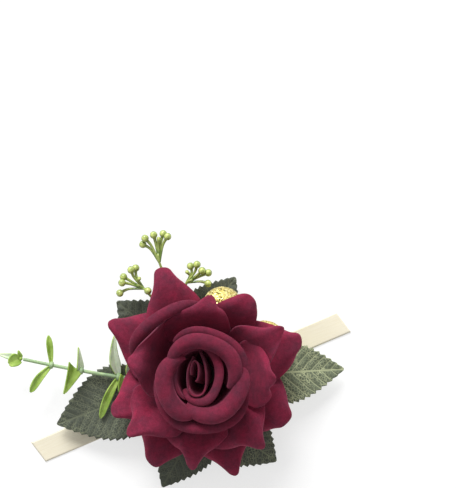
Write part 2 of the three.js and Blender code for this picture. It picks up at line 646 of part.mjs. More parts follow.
function sprigLeaf(root, shape, grow) {
  const length = sprigReach * shape.length;
  const startShare = 0.06;
  const tipBendShare = 0.12; // of the length, by which the tip bends back
  const bowlShare = 0.3; // of the width, by which the margins stand up
  const surface = (u, v) => {
    const t = THREE.MathUtils.clamp(v, 0, 1);
    const wide = sprigLeafHalfWidth(shape, t);
    const aside = length * (shape.shift[0] * (1 - t) + shape.shift[1] * Math.sin(Math.PI * t));
    const height = wide * bowlShare * u * u - length * tipBendShare * t * t;
    const place = new THREE.Vector3(length * (startShare + v), u * wide + aside, height);
    place.applyAxisAngle(new THREE.Vector3(1, 0, 0), degToRad(shape.twist));
    place.applyAxisAngle(new THREE.Vector3(0, 1, 0), -degToRad(shape.pitch));
    place.applyAxisAngle(new THREE.Vector3(0, 0, 1), degToRad(shape.azimuth));
    return place.add(root);
  };
  const overAcross = (v) => grow / sprigLeafHalfWidth(shape, THREE.MathUtils.clamp(v, 0, 1));
  return sheet(surface, 2, 6, sprigLeafThickness + 2 * grow, overAcross, grow / length);
}

function sprigPair(knot) {
  return (grow) => {
    const centre = sprigCurve.getPointAt(knot.at);
    const along = sprigCurve.getTangentAt(knot.at);
    const bore = stemRadius * stemRootShare + clearance;
    const collar = (radius, length) => rod([
      centre.clone().addScaledVector(along, -length / 2),
      centre.clone().addScaledVector(along, length / 2),
    ], radius, radius, 8, 1);
    let pair = collar(bore + collarWall + grow, collarLength + 2 * grow);
    for (const shape of knot.leaves) pair = pair.add(sprigLeaf(centre, shape, grow));
    return grow ? pair : pair.subtract(collar(bore, collarLength * 4));
  };
}

function sprigTip(grow) {
  const knotRadius = collarLength / 2;
  const onward = sprigCurve.getTangentAt(1);
  const end = sprigCurve.getPointAt(1).addScaledVector(onward, knotRadius + clearance);
  let tip = ball(knotRadius + grow, end, 1);
  for (const shape of sprigTipShares) tip = tip.add(sprigLeaf(end, shape, grow));
  return tip;
}

// Berry sprays: one moulded piece each, a stem that forks into short branches with a berry on each

const berryRadius = 1.55;
const budRadius = 0.7;
const branchRadius = 0.5;
const sprayReach = 57; // the pad's middle to the top spray's fork

// Places as shares of the spray's reach, in the band's frame: x, y and height.
const sprayShares = {
  left: {
    stem: [[-0.02, 0.1, 0.09], [-0.08, 0.5, 0.15], [-0.164, 0.799, 0.24], [-0.201, 0.847, 0.25]],
    berries: [[-0.196, 0.963, 0.27], [-0.162, 0.963, 0.24], [-0.267, 0.939, 0.25], [-0.291, 0.904, 0.28],
      [-0.337, 0.842, 0.25], [-0.143, 0.778, 0.29]],
    buds: [[-0.166, 0.883, 0.28]],
  },
  top: {
    stem: [[0, 0.12, 0.09], [0.01, 0.5, 0.15], [0.008, 0.891, 0.24], [0.026, 0.995, 0.26]],
    berries: [[-0.015, 1.132, 0.28], [-0.048, 1.099, 0.25], [0.051, 1.13, 0.28], [0.117, 1.112, 0.26],
      [0.139, 1.08, 0.29]],
    buds: [[0.074, 1.092, 0.28]],
  },
  right: {
    stem: [[0.03, 0.12, 0.09], [0.06, 0.45, 0.15], [0.118, 0.702, 0.24], [0.182, 0.728, 0.26]],
    berries: [[0.254, 0.814, 0.28], [0.206, 0.821, 0.25], [0.27, 0.759, 0.29], [0.305, 0.728, 0.27],
      [0.273, 0.658, 0.27]],
    buds: [[0.167, 0.793, 0.26]],
  },
};

function spray(shape) {
  return (grow) => {
    const places = (rows) => rows.map((row) => new THREE.Vector3(...row).multiplyScalar(sprayReach));
    const stem = places(shape.stem);
    const fork = stem[stem.length - 1];
    let whole = rod(stem, stemRadius, branchRadius, 5, 4, grow);
    const grown = [
      ...places(shape.berries).map((place) => ({ place, radius: berryRadius })),
      ...places(shape.buds).map((place) => ({ place, radius: budRadius })),
    ];
    for (const { place, radius } of grown) {
      const back = fork.clone().lerp(stem[stem.length - 2], 0.15);
      whole = whole.add(rod([back, place], branchRadius, branchRadius * 0.8, 4, 1, grow));
      whole = whole.add(ball(radius + grow, place, radius === budRadius ? 0 : 1));
    }
    return whole;
  };
}

// Glitter balls on wire picks

const pickRadius = 0.45;
const pickInsertion = 5;
const ballLift = 7.2; // the balls' lowest points over the table
const ballAzimuths = [57, 14]; // degrees, from the pad's middle
const ballReachShares = [0.718, 0.652]; // of the flower's radius
const pickRootReach = 6;
const pickHeight = 5.2;

function ballCentre(k) {
  return new THREE.Vector3(roseRadius * ballReachShares[k], 0, ballRadius + ballLift)
    .applyAxisAngle(new THREE.Vector3(0, 0, 1), degToRad(ballAzimuths[k]));
}

function ballPick(k) {
  return (grow) => {
    const centre = ballCentre(k);
    const inward = new THREE.Vector3(pickRootReach, 0, pickHeight)
      .applyAxisAngle(new THREE.Vector3(0, 0, 1), degToRad(ballAzimuths[k]));
    const toward = inward.clone().sub(centre).normalize();
    const end = centre.clone().addScaledVector(toward, ballRadius - pickInsertion);
    return rod([inward, end], pickRadius, pickRadius, 8, 1, grow);
  };
}

function glitterBall(k) {
  return (grow) => ball(ballRadius + grow, ballCentre(k), 3);
}

// The glue puddle is cast round everything that ends in it, so it is laid last.

const glueRadius = 13;

function gluePuddle(grow) {
  const profile = [
    [0, glueBottom - grow],
    [glueRadius + grow, glueBottom - grow],
    [glueRadius - gluePuddleHeight / 3 + grow, glueBottom + gluePuddleHeight * 0.6],
    [glueRadius - gluePuddleHeight + grow, glueBottom + gluePuddleHeight + grow],
    [0, glueBottom + gluePuddleHeight + grow],
  ];
  return turned(profile, 18).translate([axisShift.x / 2, axisShift.y / 2, 0]);
}

// Laying order: the band, the hard pieces, the greenery, then the petals from the bud outwards

lay('felt_backing_pad', felt, feltPad);
lay('ribbon_middle', satin, ribbonMiddle);
lay('ribbon_tail_left', satin, ribbonTail(-1, ribbonLeftReach));
lay('ribbon_tail_right', satin, ribbonTail(1, ribbonRightReach));
lay('flower_post', greenPlastic, flowerPost);
lay('bud_core', foam, budCore);
lay('calyx', greenPlastic, calyx);
lay('gold_ball_pick_1', wireSteel, ballPick(0));
lay('gold_ball_pick_2', wireSteel, ballPick(1));
lay('gold_ball_1', glitter, glitterBall(0));
lay('gold_ball_2', glitter, glitterBall(1));
lay('eucalyptus_stem', sprigPlastic, sprigStem);
sprigKnotShares.forEach((knot, k) => lay(`eucalyptus_leaf_pair_${k + 1}`, sprigPlastic, sprigPair(knot)));
lay('eucalyptus_tip_leaves', sprigPlastic, sprigTip);
for (const side of Object.keys(sprayShares)) {
  lay(`berry_spray_${side}`, berryPlastic, spray(sprayShares[side]));
}
leafShares.forEach((shape, k) => lay(`leaf_rib_${k + 1}`, greenPlastic, leafRib(shape)));
leafShares.forEach((shape, k) => lay(`leaf_${k + 1}`, printedLeaf, leafBlade(shape)));
layCups('bud_petal_', budPetalShares, budSeats, budSeatRadii, 10, 5);
layCups('cup_petal_', cupPetalShares, cupSeats, cupSeats.map(() => petalSeatRadius), 8, 5);
layCups('rim_petal_', rimPetalShares, rimSeats, rimSeats.map(() => petalSeatRadius), 7, 5);
layPetals('middle_petal_', middlePetalShares, calyxTop + 3 * layerStep, 8, 6);
layPetals('outer_petal_', outerPetalShares, calyxTop + layerStep, 8, 6);
lay('hot_glue_puddle', glue, gluePuddle);

const corsage = new THREE.Group();
for (const { name, finish, solid } of laid) {
  const mesh = new THREE.Mesh(toGeometry(solid), new THREE.MeshStandardMaterial(finish));
  mesh.name = name;
  corsage.add(mesh);
}

export default corsage;
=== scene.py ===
# A rose wrist corsage lying on its back: a velvet rose with printed leaves, a eucalyptus sprig, berry
# sprays and glitter balls, glued across a satin ribbon with a felt pad behind it. Metres, in the frame of
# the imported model: +X runs along the ribbon and +Z out of the wrist through the rose.
from collections import namedtuple
from functools import partial
from math import acos, copysign, cos, exp, hypot, pi, radians, sin, sqrt, tau

import bmesh
import bpy
from bmesh.types import BMEdge, BMFace, BMVert
from mathutils import Matrix, Vector, noise


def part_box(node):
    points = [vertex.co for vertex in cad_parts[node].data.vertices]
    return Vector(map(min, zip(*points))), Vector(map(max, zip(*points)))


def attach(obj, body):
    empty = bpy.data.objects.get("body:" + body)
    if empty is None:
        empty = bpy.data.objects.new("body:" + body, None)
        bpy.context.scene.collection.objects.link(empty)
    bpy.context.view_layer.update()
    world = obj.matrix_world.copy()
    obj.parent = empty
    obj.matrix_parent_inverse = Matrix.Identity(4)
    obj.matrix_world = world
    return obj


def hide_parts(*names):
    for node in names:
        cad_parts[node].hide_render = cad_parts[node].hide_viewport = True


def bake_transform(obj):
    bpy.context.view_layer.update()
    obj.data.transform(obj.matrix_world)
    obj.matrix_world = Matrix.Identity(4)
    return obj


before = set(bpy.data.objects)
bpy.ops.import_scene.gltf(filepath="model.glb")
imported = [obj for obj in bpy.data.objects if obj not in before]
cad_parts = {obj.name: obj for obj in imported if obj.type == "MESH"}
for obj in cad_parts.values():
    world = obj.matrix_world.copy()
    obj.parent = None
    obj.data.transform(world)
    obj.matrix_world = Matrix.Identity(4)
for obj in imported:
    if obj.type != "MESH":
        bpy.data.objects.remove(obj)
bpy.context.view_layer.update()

# The camera. It looks straight down from a little over half a metre, and the ribbon climbs to the right
# across its view. The view's scale is the one at which the ribbon is ten millimetres wide.
MM = 0.001
METRES_PER_PIXEL = 0.42 * MM
VIEW_WIDE_PIXELS, VIEW_HIGH_PIXELS = 456, 488
BUD_PIXEL_ACROSS, BUD_PIXEL_DOWN = 205, 381
BUD_ALONG_RIBBON = -2 * MM
RIBBON_CLIMB = radians(23.05)
LENS_MM, SENSOR_MM = 100, 36


def object_of(name, data):
    """Puts an object with this mesh, camera or light in the scene."""
    made = bpy.data.objects.new(name, data)
    bpy.context.scene.collection.objects.link(made)
    return made


across = (VIEW_WIDE_PIXELS / 2 - BUD_PIXEL_ACROSS) * METRES_PER_PIXEL
upward = (BUD_PIXEL_DOWN - VIEW_HIGH_PIXELS / 2) * METRES_PER_PIXEL
camera = object_of("camera", bpy.data.cameras.new("camera"))
bpy.context.scene.camera = camera
camera.data.lens = LENS_MM
camera.data.sensor_width = SENSOR_MM
camera.location = (
    across * cos(RIBBON_CLIMB) + upward * sin(RIBBON_CLIMB) + BUD_ALONG_RIBBON,
    upward * cos(RIBBON_CLIMB) - across * sin(RIBBON_CLIMB),
    VIEW_HIGH_PIXELS * METRES_PER_PIXEL * LENS_MM / SENSOR_MM,
)
camera.rotation_euler = (0, 0, -RIBBON_CLIMB)
bpy.context.scene.view_settings.view_transform = "Standard"

# The studio: a white light table, which keeps the corsage's soft shadow, under an even white surround and
# one broad lamp beyond the view's upper edge. From below, the table is clear, so that the pad can be
# seen.
TABLE_HALF_SIDE = 1.5
LAMP_FROM = Vector((0.15, 0.88, 0.55))


def srgb(code):
    """An sRGB hex colour as the linear colour that a shader takes."""
    channels = [int(code[k:k + 2], 16) / 255 for k in (1, 3, 5)]
    linear = [c / 12.92 if c <= 0.04045 else ((c + 0.055) / 1.055) ** 2.4 for c in channels]
    return (*linear, 1)


def add(tree, kind, sockets=(), **settings):
    """Adds a node, and gives its inputs their values or links. A node stands for its first open output."""
    made = tree.nodes.new("ShaderNode" + kind)
    for name, value in settings.items():
        setattr(made, name, value)
    for name, value in dict(sockets).items():
        if isinstance(value, bpy.types.Node):
            value = next(socket for socket in value.outputs if socket.enabled)
        if isinstance(value, bpy.types.NodeSocket):
            tree.links.new(value, made.inputs[name])
        else:
            made.inputs[name].default_value = value
    return made


def blank_material(name):
    """A new material without nodes, and the function that adds its nodes."""
    material = bpy.data.materials.new(name)
    material.use_nodes = True
    material.node_tree.nodes.clear()
    return material, partial(add, material.node_tree)


def textured_material(name):
    """A blank material, the function that adds its nodes, and each point's place on its object."""
    material, node = blank_material(name)
    return material, node, node("TexCoord").outputs["Object"]


def finished(material, shader):
    """The material, with this shader on its surface."""
    add(material.node_tree, "OutputMaterial", {"Surface": shader})
    return material


def table_top():
    """Opal acrylic, lit from behind. Seen from below it is clear."""
    material, node = blank_material("opal_acrylic")
    top = node("BsdfPrincipled", {
        "Base Color": srgb("#b0b0b0"), "Roughness": 0.9, "Emission Color": srgb("#ffffff"),
        "Emission Strength": 0.62})
    clear = node("BsdfTransparent")
    side = node("NewGeometry").outputs["Backfacing"]
    return finished(material, node("MixShader", {0: side, 1: top, 2: clear}))


bm = bmesh.new()
bmesh.ops.create_grid(bm, x_segments=1, y_segments=1, size=TABLE_HALF_SIDE)
mesh = bpy.data.meshes.new("table")
bm.to_mesh(mesh)
bm.free()
mesh.materials.append(table_top())
table = object_of("table", mesh)

world = bpy.data.worlds.new("surround")
bpy.context.scene.world = world
world.use_nodes = True
sky = world.node_tree
sky.nodes.clear()
ray = add(sky, "LightPath").outputs
seen = add(sky, "Math", {0: ray["Is Camera Ray"], 1: ray["Is Glossy Ray"]}, operation="MAXIMUM")
seen = add(sky, "Math", {0: seen, 1: ray["Is Transmission Ray"]}, operation="MAXIMUM")
surround = add(sky, "Background", {"Color": srgb("#ffffff"), "Strength": 0.44})
backdrop = add(sky, "Background", {"Color": srgb("#ffffff"), "Strength": 1})
mixed = add(sky, "MixShader", {0: seen, 1: surround, 2: backdrop})
add(sky, "OutputWorld", {"Surface": mixed})

lamp = object_of("lamp", bpy.data.lights.new("lamp", "SUN"))
lamp.data.energy = 3.7
lamp.data.angle = radians(30)
lamp.rotation_euler = LAMP_FROM.to_track_quat("Z", "Y").to_euler()

# The felt pad: a round of ivory pressed wool-mix felt, the piece that lies on the wrist. It is die-cut,
# with loose fibres at its edge, and everything else is glued on it.
PAD_RADIUS = 22 * MM
PAD_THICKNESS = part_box("felt_backing_pad")[1].z
PAD_EDGE_ROUND = 0.3 * MM
FRAY_DEPTH = 0.3 * MM
FRAY_PITCH = 1.5 * MM


def piece(bm, name, materials, stands_for, body="corsage"):
    """Makes the finished mesh a smooth-shaded object that rides on a body in place of its CAD nodes."""
    mesh = bpy.data.meshes.new(name)
    bm.to_mesh(mesh)
    bm.free()
    mesh.shade_smooth()
    for material in materials:
        mesh.materials.append(material)
    made = object_of(name, mesh)
    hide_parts(*stands_for)
    if body:
        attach(made, body)
    return made


def felt():
    """Pressed wool-mix felt: matt, with a soft fuzz of crossed fibres half a millimetre apart."""
    material, node, place = textured_material("pressed_felt")
    fibres = node("TexNoise", {"Vector": place, "Scale": 1 / (0.5 * MM), "Detail": 4, "Distortion": 1.5})
    blotch = node("TexNoise", {"Vector": place, "Scale": 1 / (6 * MM), "Detail": 2})
    fuzz = node("Math", {0: fibres, 1: blotch}, operation="MULTIPLY")
    tone = node("MapRange", {"Value": fuzz, "From Min": 0.12, "From Max": 0.4})
    colour = node("Mix", {0: tone, 6: srgb("#d2c6a4"), 7: srgb("#efe7d0")}, data_type="RGBA")
    bump = node("Bump", {"Height": fibres, "Distance": 0.15 * MM, "Strength": 0.8})
    return finished(material, node("BsdfPrincipled", {
        "Base Color": colour, "Roughness": 1, "Sheen Weight": 0.3, "Normal": bump}))


bm = bmesh.new()
bmesh.ops.create_cone(
    bm, cap_ends=True, segments=180, radius1=PAD_RADIUS, radius2=PAD_RADIUS, depth=PAD_THICKNESS,
    matrix=Matrix.Translation((0, 0, PAD_THICKNESS / 2)))
rims = [edge for edge in bm.edges if edge.calc_face_angle() > 1]
bmesh.ops.bevel(bm, geom=rims, offset=PAD_EDGE_ROUND, affect="EDGES", segments=2, profile=0.5, material=-1)
for vert in bm.verts:
    fray = FRAY_DEPTH * noise.noise(vert.co / FRAY_PITCH)
    vert.co.xy += vert.co.xy.normalized() * (fray - FRAY_DEPTH)
pad = piece(bm, "felt_pad", [felt()], ["felt_backing_pad"])

# The band: one length of single-faced satin ribbon, ten millimetres wide, with heat-sealed slanted ends.
# It is glued over the pad, and each free tail droops to the table from near the pad's edge. Worn, the
# tails wrap down round the wrist there.
RIBBON_WIDTH = 10 * MM
RIBBON_THICKNESS = 0.35 * MM
RIBBON_LEFT_REACH = 78 * MM
RIBBON_RIGHT_REACH = 61.2 * MM
TAIL_START = 23.9 * MM
TAIL_REST_HEIGHT = 0.25 * MM
DROOP_SHARE = 0.45
END_SLANT = 2.5 * MM
COCKLE_HEIGHT = 0.12 * MM
COCKLE_PITCH = 4.3 * MM
BEND_FROM = 21.8 * MM
BEND_TO = 27 * MM
SATIN_RIB_PITCH = 0.45 * MM
ribbon_height = sum(corner.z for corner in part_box("ribbon_middle")) / 2


def mix(start, end, share):
    return start + (end - start) * share


def smooth(value, low=0, high=1):
    """Rises gently from 0 at low to 1 at high."""
    share = min(max((value - low) / (high - low), 0), 1)
    return share * share * (3 - 2 * share)


def sheet_mesh(surface, cut, columns, rows):
    """A grid formed on a surface of u, from -1 to 1 across, and v, from 0 to 1 along. Its UV map holds each
    point's place on the flat cut, in metres."""
    bm = bmesh.new()
    flat = bm.loops.layers.uv.new("flat_cut")
    bmesh.ops.create_grid(bm, x_segments=columns, y_segments=rows, size=1)
    for face in bm.faces:
        for loop in face.loops:
            loop[flat].uv = cut(loop.vert.co.x, (loop.vert.co.y + 1) / 2)
    for vert in bm.verts:
        vert.co = surface(vert.co.x, (vert.co.y + 1) / 2)
    return bm


def thicken(made, thickness, levels=0):
    """Gives a sheet its thickness, evenly to both sides, and smooths it by so many levels."""
    wall = made.modifiers.new("thickness", "SOLIDIFY")
    wall.thickness = thickness
    wall.offset = 0
    if levels:
        soft = made.modifiers.new("softened", "SUBSURF")
        soft.levels = soft.render_levels = levels
    return wall


def satin():
    """Single-faced polyester satin: ivory, with a low silky gloss, and fine ribs across its length. The
    real threads are 0.1 mm apart, and the ribs are drawn at 0.45 mm so that they show."""
    material, node = blank_material("polyester_satin")
    cut = node("UVMap", uv_map="flat_cut")
    stretched = node("Mapping", {"Vector": cut, "Scale": (1 / (0.5 * MM), 1 / (9 * MM), 1)})
    streak = node("TexNoise", {"Vector": stretched, "Scale": 1, "Detail": 3})
    # At a scale of one, a wave texture runs through twenty radians in a metre.
    ribs = node("TexWave", {"Vector": cut, "Scale": tau / 20 / SATIN_RIB_PITCH, "Distortion": 0.6},
                bands_direction="Y")
    colour = node("Mix", {0: streak, 6: srgb("#f0e6c9"), 7: srgb("#fbf5e2")}, data_type="RGBA")
    shade = node("MapRange", {"Value": ribs.outputs["Fac"], "To Min": 0.93, "To Max": 1.0})
    colour = node("Mix", {0: 1, 6: colour, 7: shade}, data_type="RGBA", blend_type="MULTIPLY")
    bump = node("Bump", {"Height": ribs.outputs["Fac"], "Distance": 0.04 * MM, "Strength": 0.5})
    return finished(material, node("BsdfPrincipled", {
        "Base Color": colour, "Roughness": 0.42, "Sheen Weight": 0.25, "Anisotropic": 0.4, "Normal": bump}))


def ribbon_half(side, reach):
    """One half of the ribbon, from under the rose to its cut end."""
    def surface(u, v):
        run = reach * v
        past = max((run - TAIL_START) / (reach - TAIL_START), 0)
        slant = -END_SLANT / 2 * u * past
        height = mix(ribbon_height, TAIL_REST_HEIGHT, smooth(past, 0, DROOP_SHARE))
        wave = 1 + sin(run / COCKLE_PITCH + u * 1.2 + side)
        cockle = COCKLE_HEIGHT * smooth(past, 0.4, 0.6) * wave
        return (side * (run + slant), side * u * RIBBON_WIDTH / 2, height + cockle / 2)

    return sheet_mesh(surface, lambda u, v: (u * RIBBON_WIDTH / 2, v * reach), columns=12, rows=110)


satin_face = satin()
for name, side, reach in (("left", -1, RIBBON_LEFT_REACH), ("right", 1, RIBBON_RIGHT_REACH)):
    made = piece(
        ribbon_half(side, reach), "satin_ribbon_" + name, [satin_face],
        ["ribbon_middle", "ribbon_tail_" + name], body=None)
    thicken(made, RIBBON_THICKNESS)
    bend = (side * BEND_FROM, 0, 0), (side * BEND_TO, 0, 0)
    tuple(bend[0])
    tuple(bend[1])
    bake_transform(made)

# The leaves: die-cut from stiffened cloth, printed dark green with a paler net of veins, and pressed so
# that the blade bellies up between its veins. Each has a moulded rib glued behind it, which ends in the
# glue.
LEAF_LENGTH = 47 * MM
LEAF_THICKNESS = 0.4 * MM
LEAF_BASE_HEIGHT = 4.4 * MM
LEAF_ARCH = 1.2 * MM
LEAF_FOLD = 1 * MM
LEAF_TEETH = 18
TOOTH_DEPTH = 1 * MM
TOOTH_ROWS = 5
TOOTH_FROM_SHARE = 0.7
TOOTH_HOOK_SHARE = 0.3
LEAF_ROOT_POWER = 0.8
LEAF_FULLNESS = 0.92
LEAF_BELLY = 0.35 * MM
LEAF_FLUTTER = 0.25 * MM
VEIN_PITCH = 4.2 * MM
VEIN_SWAY = 0.8 * MM
SIDE_VEIN_CORE, SIDE_VEIN_EDGE = 0.12 * MM, 0.32 * MM
MIDRIB_CORE, MIDRIB_EDGE = 0.2 * MM, 0.5 * MM
NET_CELL = 1.1 * MM
GLUE_HEIGHT = 3.6 * MM


def turned(degrees, axis="Z"):
    """A turn about one of the frame's axes."""
    return Matrix.Rotation(radians(degrees), 3, axis)


def rows_of(columns, rows):
    """A table's rows, each with its values under the columns' names."""
    row_of = namedtuple("row", columns)
    return [row_of(*row) for row in rows]


# Heading in degrees; then, as shares of the leaf's length, the tip's place, the length and the half
# width. How far the blade is raised is a share of the glue's height. The last is its print's name.
LEAF_SHARES = rows_of("heading tip length half_width raised print", [
    (177.5, (-1.39, 0.17), 1, 0.335, 0.25, "faint"),
    (-20, (1.135, -0.373), 0.92, 0.28, 0.25, "crisp"),
    (117, (-0.479, 0.962), 0.85, 0.31, 0, "worn"),
    (31, (0.569, 0.748), 0.72, 0.26, 0, "worn"),
    (218, (-0.751, -0.707), 0.85, 0.29, 0, "worn"),
    (301, (0.264, -0.891), 0.78, 0.31, 0, "netted"),
])


def printed_cloth(print_name, dark, light, vein_strength, net_strength):
    """Stiffened polyester cloth with a transfer print: a dull grey green, with pale veins that run out from
    the midrib at 45 degrees and join in a net of cells 1.1 mm wide."""
    material, node = blank_material(print_name + "_printed_cloth")
    cut = node("UVMap", uv_map="flat_cut")
    wander = node("TexNoise", {"Vector": cut, "Scale": 1 / (5 * MM), "Detail": 2})
    sway = node("MapRange", {"Value": wander, "To Min": -VEIN_SWAY, "To Max": VEIN_SWAY})
    sides = node("SeparateXYZ", {0: cut})
    out = node("Math", {0: sides.outputs["X"]}, operation="ABSOLUTE")
    slope = node("Math", {0: sides.outputs["Y"], 1: out}, operation="SUBTRACT")
    slope = node("Math", {0: slope, 1: sway}, operation="ADD")
    apart = node("Math", {0: slope, 1: VEIN_PITCH / 2}, operation="PINGPONG")
    side_vein = node("MapRange", {
        "Value": apart, "From Min": SIDE_VEIN_CORE, "From Max": SIDE_VEIN_EDGE,
        "To Min": vein_strength, "To Max": 0})
    midrib = node("MapRange", {
        "Value": out, "From Min": MIDRIB_CORE, "From Max": MIDRIB_EDGE,
        "To Min": vein_strength, "To Max": 0})
    cells = node("TexVoronoi", {"Vector": cut, "Scale": 1 / NET_CELL}, feature="DISTANCE_TO_EDGE")
    net = node("MapRange", {
        "Value": cells.outputs["Distance"], "From Min": 0.02, "From Max": 0.09,
        "To Min": net_strength, "To Max": 0})
    worn = node("TexNoise", {"Vector": cut, "Scale": 1 / (7 * MM), "Detail": 2})
    faded = node("MapRange", {"Value": worn, "From Min": 0.3, "From Max": 0.6})
    net = node("Math", {0: net, 1: faded}, operation="MULTIPLY")
    veins = node("Math", {0: side_vein, 1: midrib}, operation="MAXIMUM")
    veins = node("Math", {0: veins, 1: net}, operation="MAXIMUM")
    grain = node("TexNoise", {"Vector": cut, "Scale": 1 / (0.6 * MM), "Detail": 3})
    ground = node("Mix", {0: grain, 6: srgb(dark), 7: srgb(light)}, data_type="RGBA")
    colour = node("Mix", {0: veins, 6: ground, 7: srgb("#c0c79c")}, data_type="RGBA")
    bump = node("Bump", {"Height": veins, "Distance": 0.1 * MM, "Strength": 0.3})
    return finished(material, node("BsdfPrincipled", {
        "Base Color": colour, "Roughness": 0.75, "Normal": bump}))


def leaf(shape):
    """A leaf's toothed outline, bellied up between its veins and folded at its midrib."""
    length = LEAF_LENGTH * shape.length
    widest = LEAF_LENGTH * shape.half_width
    tip = Vector((*shape.tip, 0)) * LEAF_LENGTH
    heading = turned(shape.heading)

    def half_width(v):
        return widest * sin(pi * min(v, 1) ** LEAF_ROOT_POWER) ** LEAF_FULLNESS + LEAF_THICKNESS / 2

    def surface(u, v):
        row = round(v * LEAF_TEETH * TOOTH_ROWS)
        tooth = (row % TOOTH_ROWS) / (TOOTH_ROWS - 1)
        half = half_width(v)
        notch = TOOTH_DEPTH * min(1, 2 * half / widest) * smooth(abs(u), TOOTH_FROM_SHARE, 1)
        aside = copysign(abs(u) * half - notch * (1 - tooth), u) if u else 0
        back = length * (1 - v) - notch * tooth * TOOTH_HOOK_SHARE
        vein = sin(pi * (length * v - abs(u) * half) / VEIN_PITCH) ** 2
        belly = LEAF_BELLY * vein * smooth(abs(u), 0, 0.25) * smooth(1 - abs(u), 0, 0.3)
        rise = LEAF_BASE_HEIGHT + GLUE_HEIGHT * shape.raised + LEAF_ARCH * sin(pi * v)
        fold = LEAF_FOLD * half * u * u / widest
        flutter = LEAF_FLUTTER * sin(9 * v + 2 * u + shape.heading) * u * u
        return heading @ Vector((-back, aside, rise + fold + belly + flutter)) + tip

    return sheet_mesh(
        surface, lambda u, v: (u * half_width(v), v * length), columns=28, rows=LEAF_TEETH * TOOTH_ROWS)


# Each print's darker and lighter ground, and how strong its veins and its net are.
LEAF_PRINTS = [
    ("crisp", "#4c5442", "#707a62", 0.75, 1),
    ("faint", "#373b32", "#50574a", 0.15, 0.28),
    ("netted", "#363a31", "#50564a", 0.25, 0.42),
    ("worn", "#33372f", "#4e5448", 0.1, 0.15),
]
leaf_cloths = {row[0]: printed_cloth(*row) for row in LEAF_PRINTS}
for number, shape in enumerate(LEAF_SHARES, 1):
    cloth = leaf_cloths[shape.print]
    made = piece(leaf(shape), f"printed_leaf_{number}", [cloth], [f"leaf_{number}"])
    thicken(made, LEAF_THICKNESS)


def moulded_polythene(name, dark, light):
    """Soft moulded polythene: a slight waxy gloss over a faintly uneven face."""
    material, node, place = textured_material(name)
    cloud = node("TexNoise", {"Vector": place, "Scale": 1 / (3 * MM), "Detail": 3})
    colour = node("Mix", {0: cloud, 6: srgb(dark), 7: srgb(light)}, data_type="RGBA")
    bump = node("Bump", {"Height": cloud, "Distance": 0.1 * MM, "Strength": 0.4})
    return finished(material, node("BsdfPrincipled", {
        "Base Color": colour, "Roughness": 0.45, "IOR": 1.51, "Normal": bump}))


def finish_node(name, material):
    """A CAD node that keeps its shape and takes a finish."""
    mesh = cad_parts[name].data
    mesh.materials.clear()
    mesh.materials.append(material)


green_polythene = moulded_polythene("green_polythene", "#4d6b33", "#6f8f48")
for number in range(1, len(LEAF_SHARES) + 1):
    finish_node(f"leaf_rib_{number}", green_polythene)

# The eucalyptus: leaf pairs of soft polythene, moulded with a collar and threaded on a stem of the same
# over wire. Their upper faces are yellow green, and their backs have a pale bloom.
SPRIG_REACH = 80 * MM
STEM_RADIUS = 0.7 * MM
STEM_ROOT_SHARE = 1.15
COLLAR_LENGTH = 1.6 * MM
COLLAR_WALL = 0.45 * MM
CLEARANCE = 0.3 * MM
SPRIG_LEAF_THICKNESS = 0.5 * MM
SPRIG_LEAF_GROOVE = 0.25 * MM
GROOVE_WIDTH_SHARE = 0.16
SPRIG_LEAF_CUP_SHARE = 0.3
SPRIG_LEAF_BOW_SHARE = 0.12
PETIOLE_SHARE = 0.06
COLLAR_STATION_SHARES = [-0.5, -0.42, -0.2, 0.2, 0.42, 0.5]
COLLAR_SWELL_SHARES = [0.72, 0.92, 1, 1, 0.92, 0.72]
SPRIG_STEPS = 100
SPRIG_RISE = 11 * MM
SPRIG_ROOT_HEIGHT = 4.6 * MM

# How far red, green and blue light travels in the polythene.
POLYTHENE_GLOW = 1.5 * MM, 2 * MM, 0.6 * MM

# The stem's route, along the ribbon and across it.
SPRIG_STEM_SHARES = [
    (-0.06, -0.01), (-0.21, 0.08), (-0.38, 0.18), (-0.503, 0.256), (-0.61, 0.327), (-0.711, 0.395),
    (-0.834, 0.481)]

# Each knot's place along the stem, and its leaves. Heading, pitch and twist are in degrees, and the
# length and half width are shares of the sprig's reach. Widest is the share of the length at which a leaf
# is widest, root and blunt the shares of that width which its ends keep, and point the power by which it
# narrows. Shift moves its root and its middle to the left, by shares of its length. A pale leaf is turned
# over, and shows its back.
SPRIG_LEAF_COLUMNS = "heading pitch twist length half_width pale root widest point blunt shift"
SPRIG_KNOT_SHARES = [
    (0.405, [(215, 10, -20, 0.085, 0.027, False, 0.9, 0.2, 1.6, 0.15, (-0.3, 0)),
             (60, 6, 20, 0.1, 0.022, True, 0.4, 0.4, 1.5, 0.1, (0, 0))]),
    (0.465, [(69, 12, 20, 0.205, 0.026, True, 0.5, 0.33, 1.2, 0.12, (0, 0.08)),
             (226, 4, -20, 0.222, 0.021, False, 0.5, 0.45, 2.5, 0.35, (0, -0.05))]),
    (0.668, [(215, 20, -35, 0.14, 0.05, False, 1, 0, 1, 0.08, (-0.34, 0)),
             (67, 20, 40, 0.12, 0.02, True, 0.9, 0.15, 1, 0.1, (0.06, 0))]),
    (0.835, [(69, 15, 20, 0.147, 0.015, False, 0.4, 0.66, 2, 0.25, (0, 0)),
             (212, 10, -20, 0.165, 0.0195, False, 0.4, 0.6, 2.2, 0.35, (0, -0.07))]),
]
SPRIG_TIP_SHARES = [
    (145, 5, 10, 0.112, 0.0145, True, 0.5, 0.4, 1.2, 0.1, (0, 0)),
    (182, 30, -10, 0.063, 0.032, False, 0.6, 0.45, 1.8, 0.45, (0, -0.12)),
    (76, 30, 20, 0.045, 0.012, False, 0.6, 0.3, 1, 0.1, (0, 0)),
]


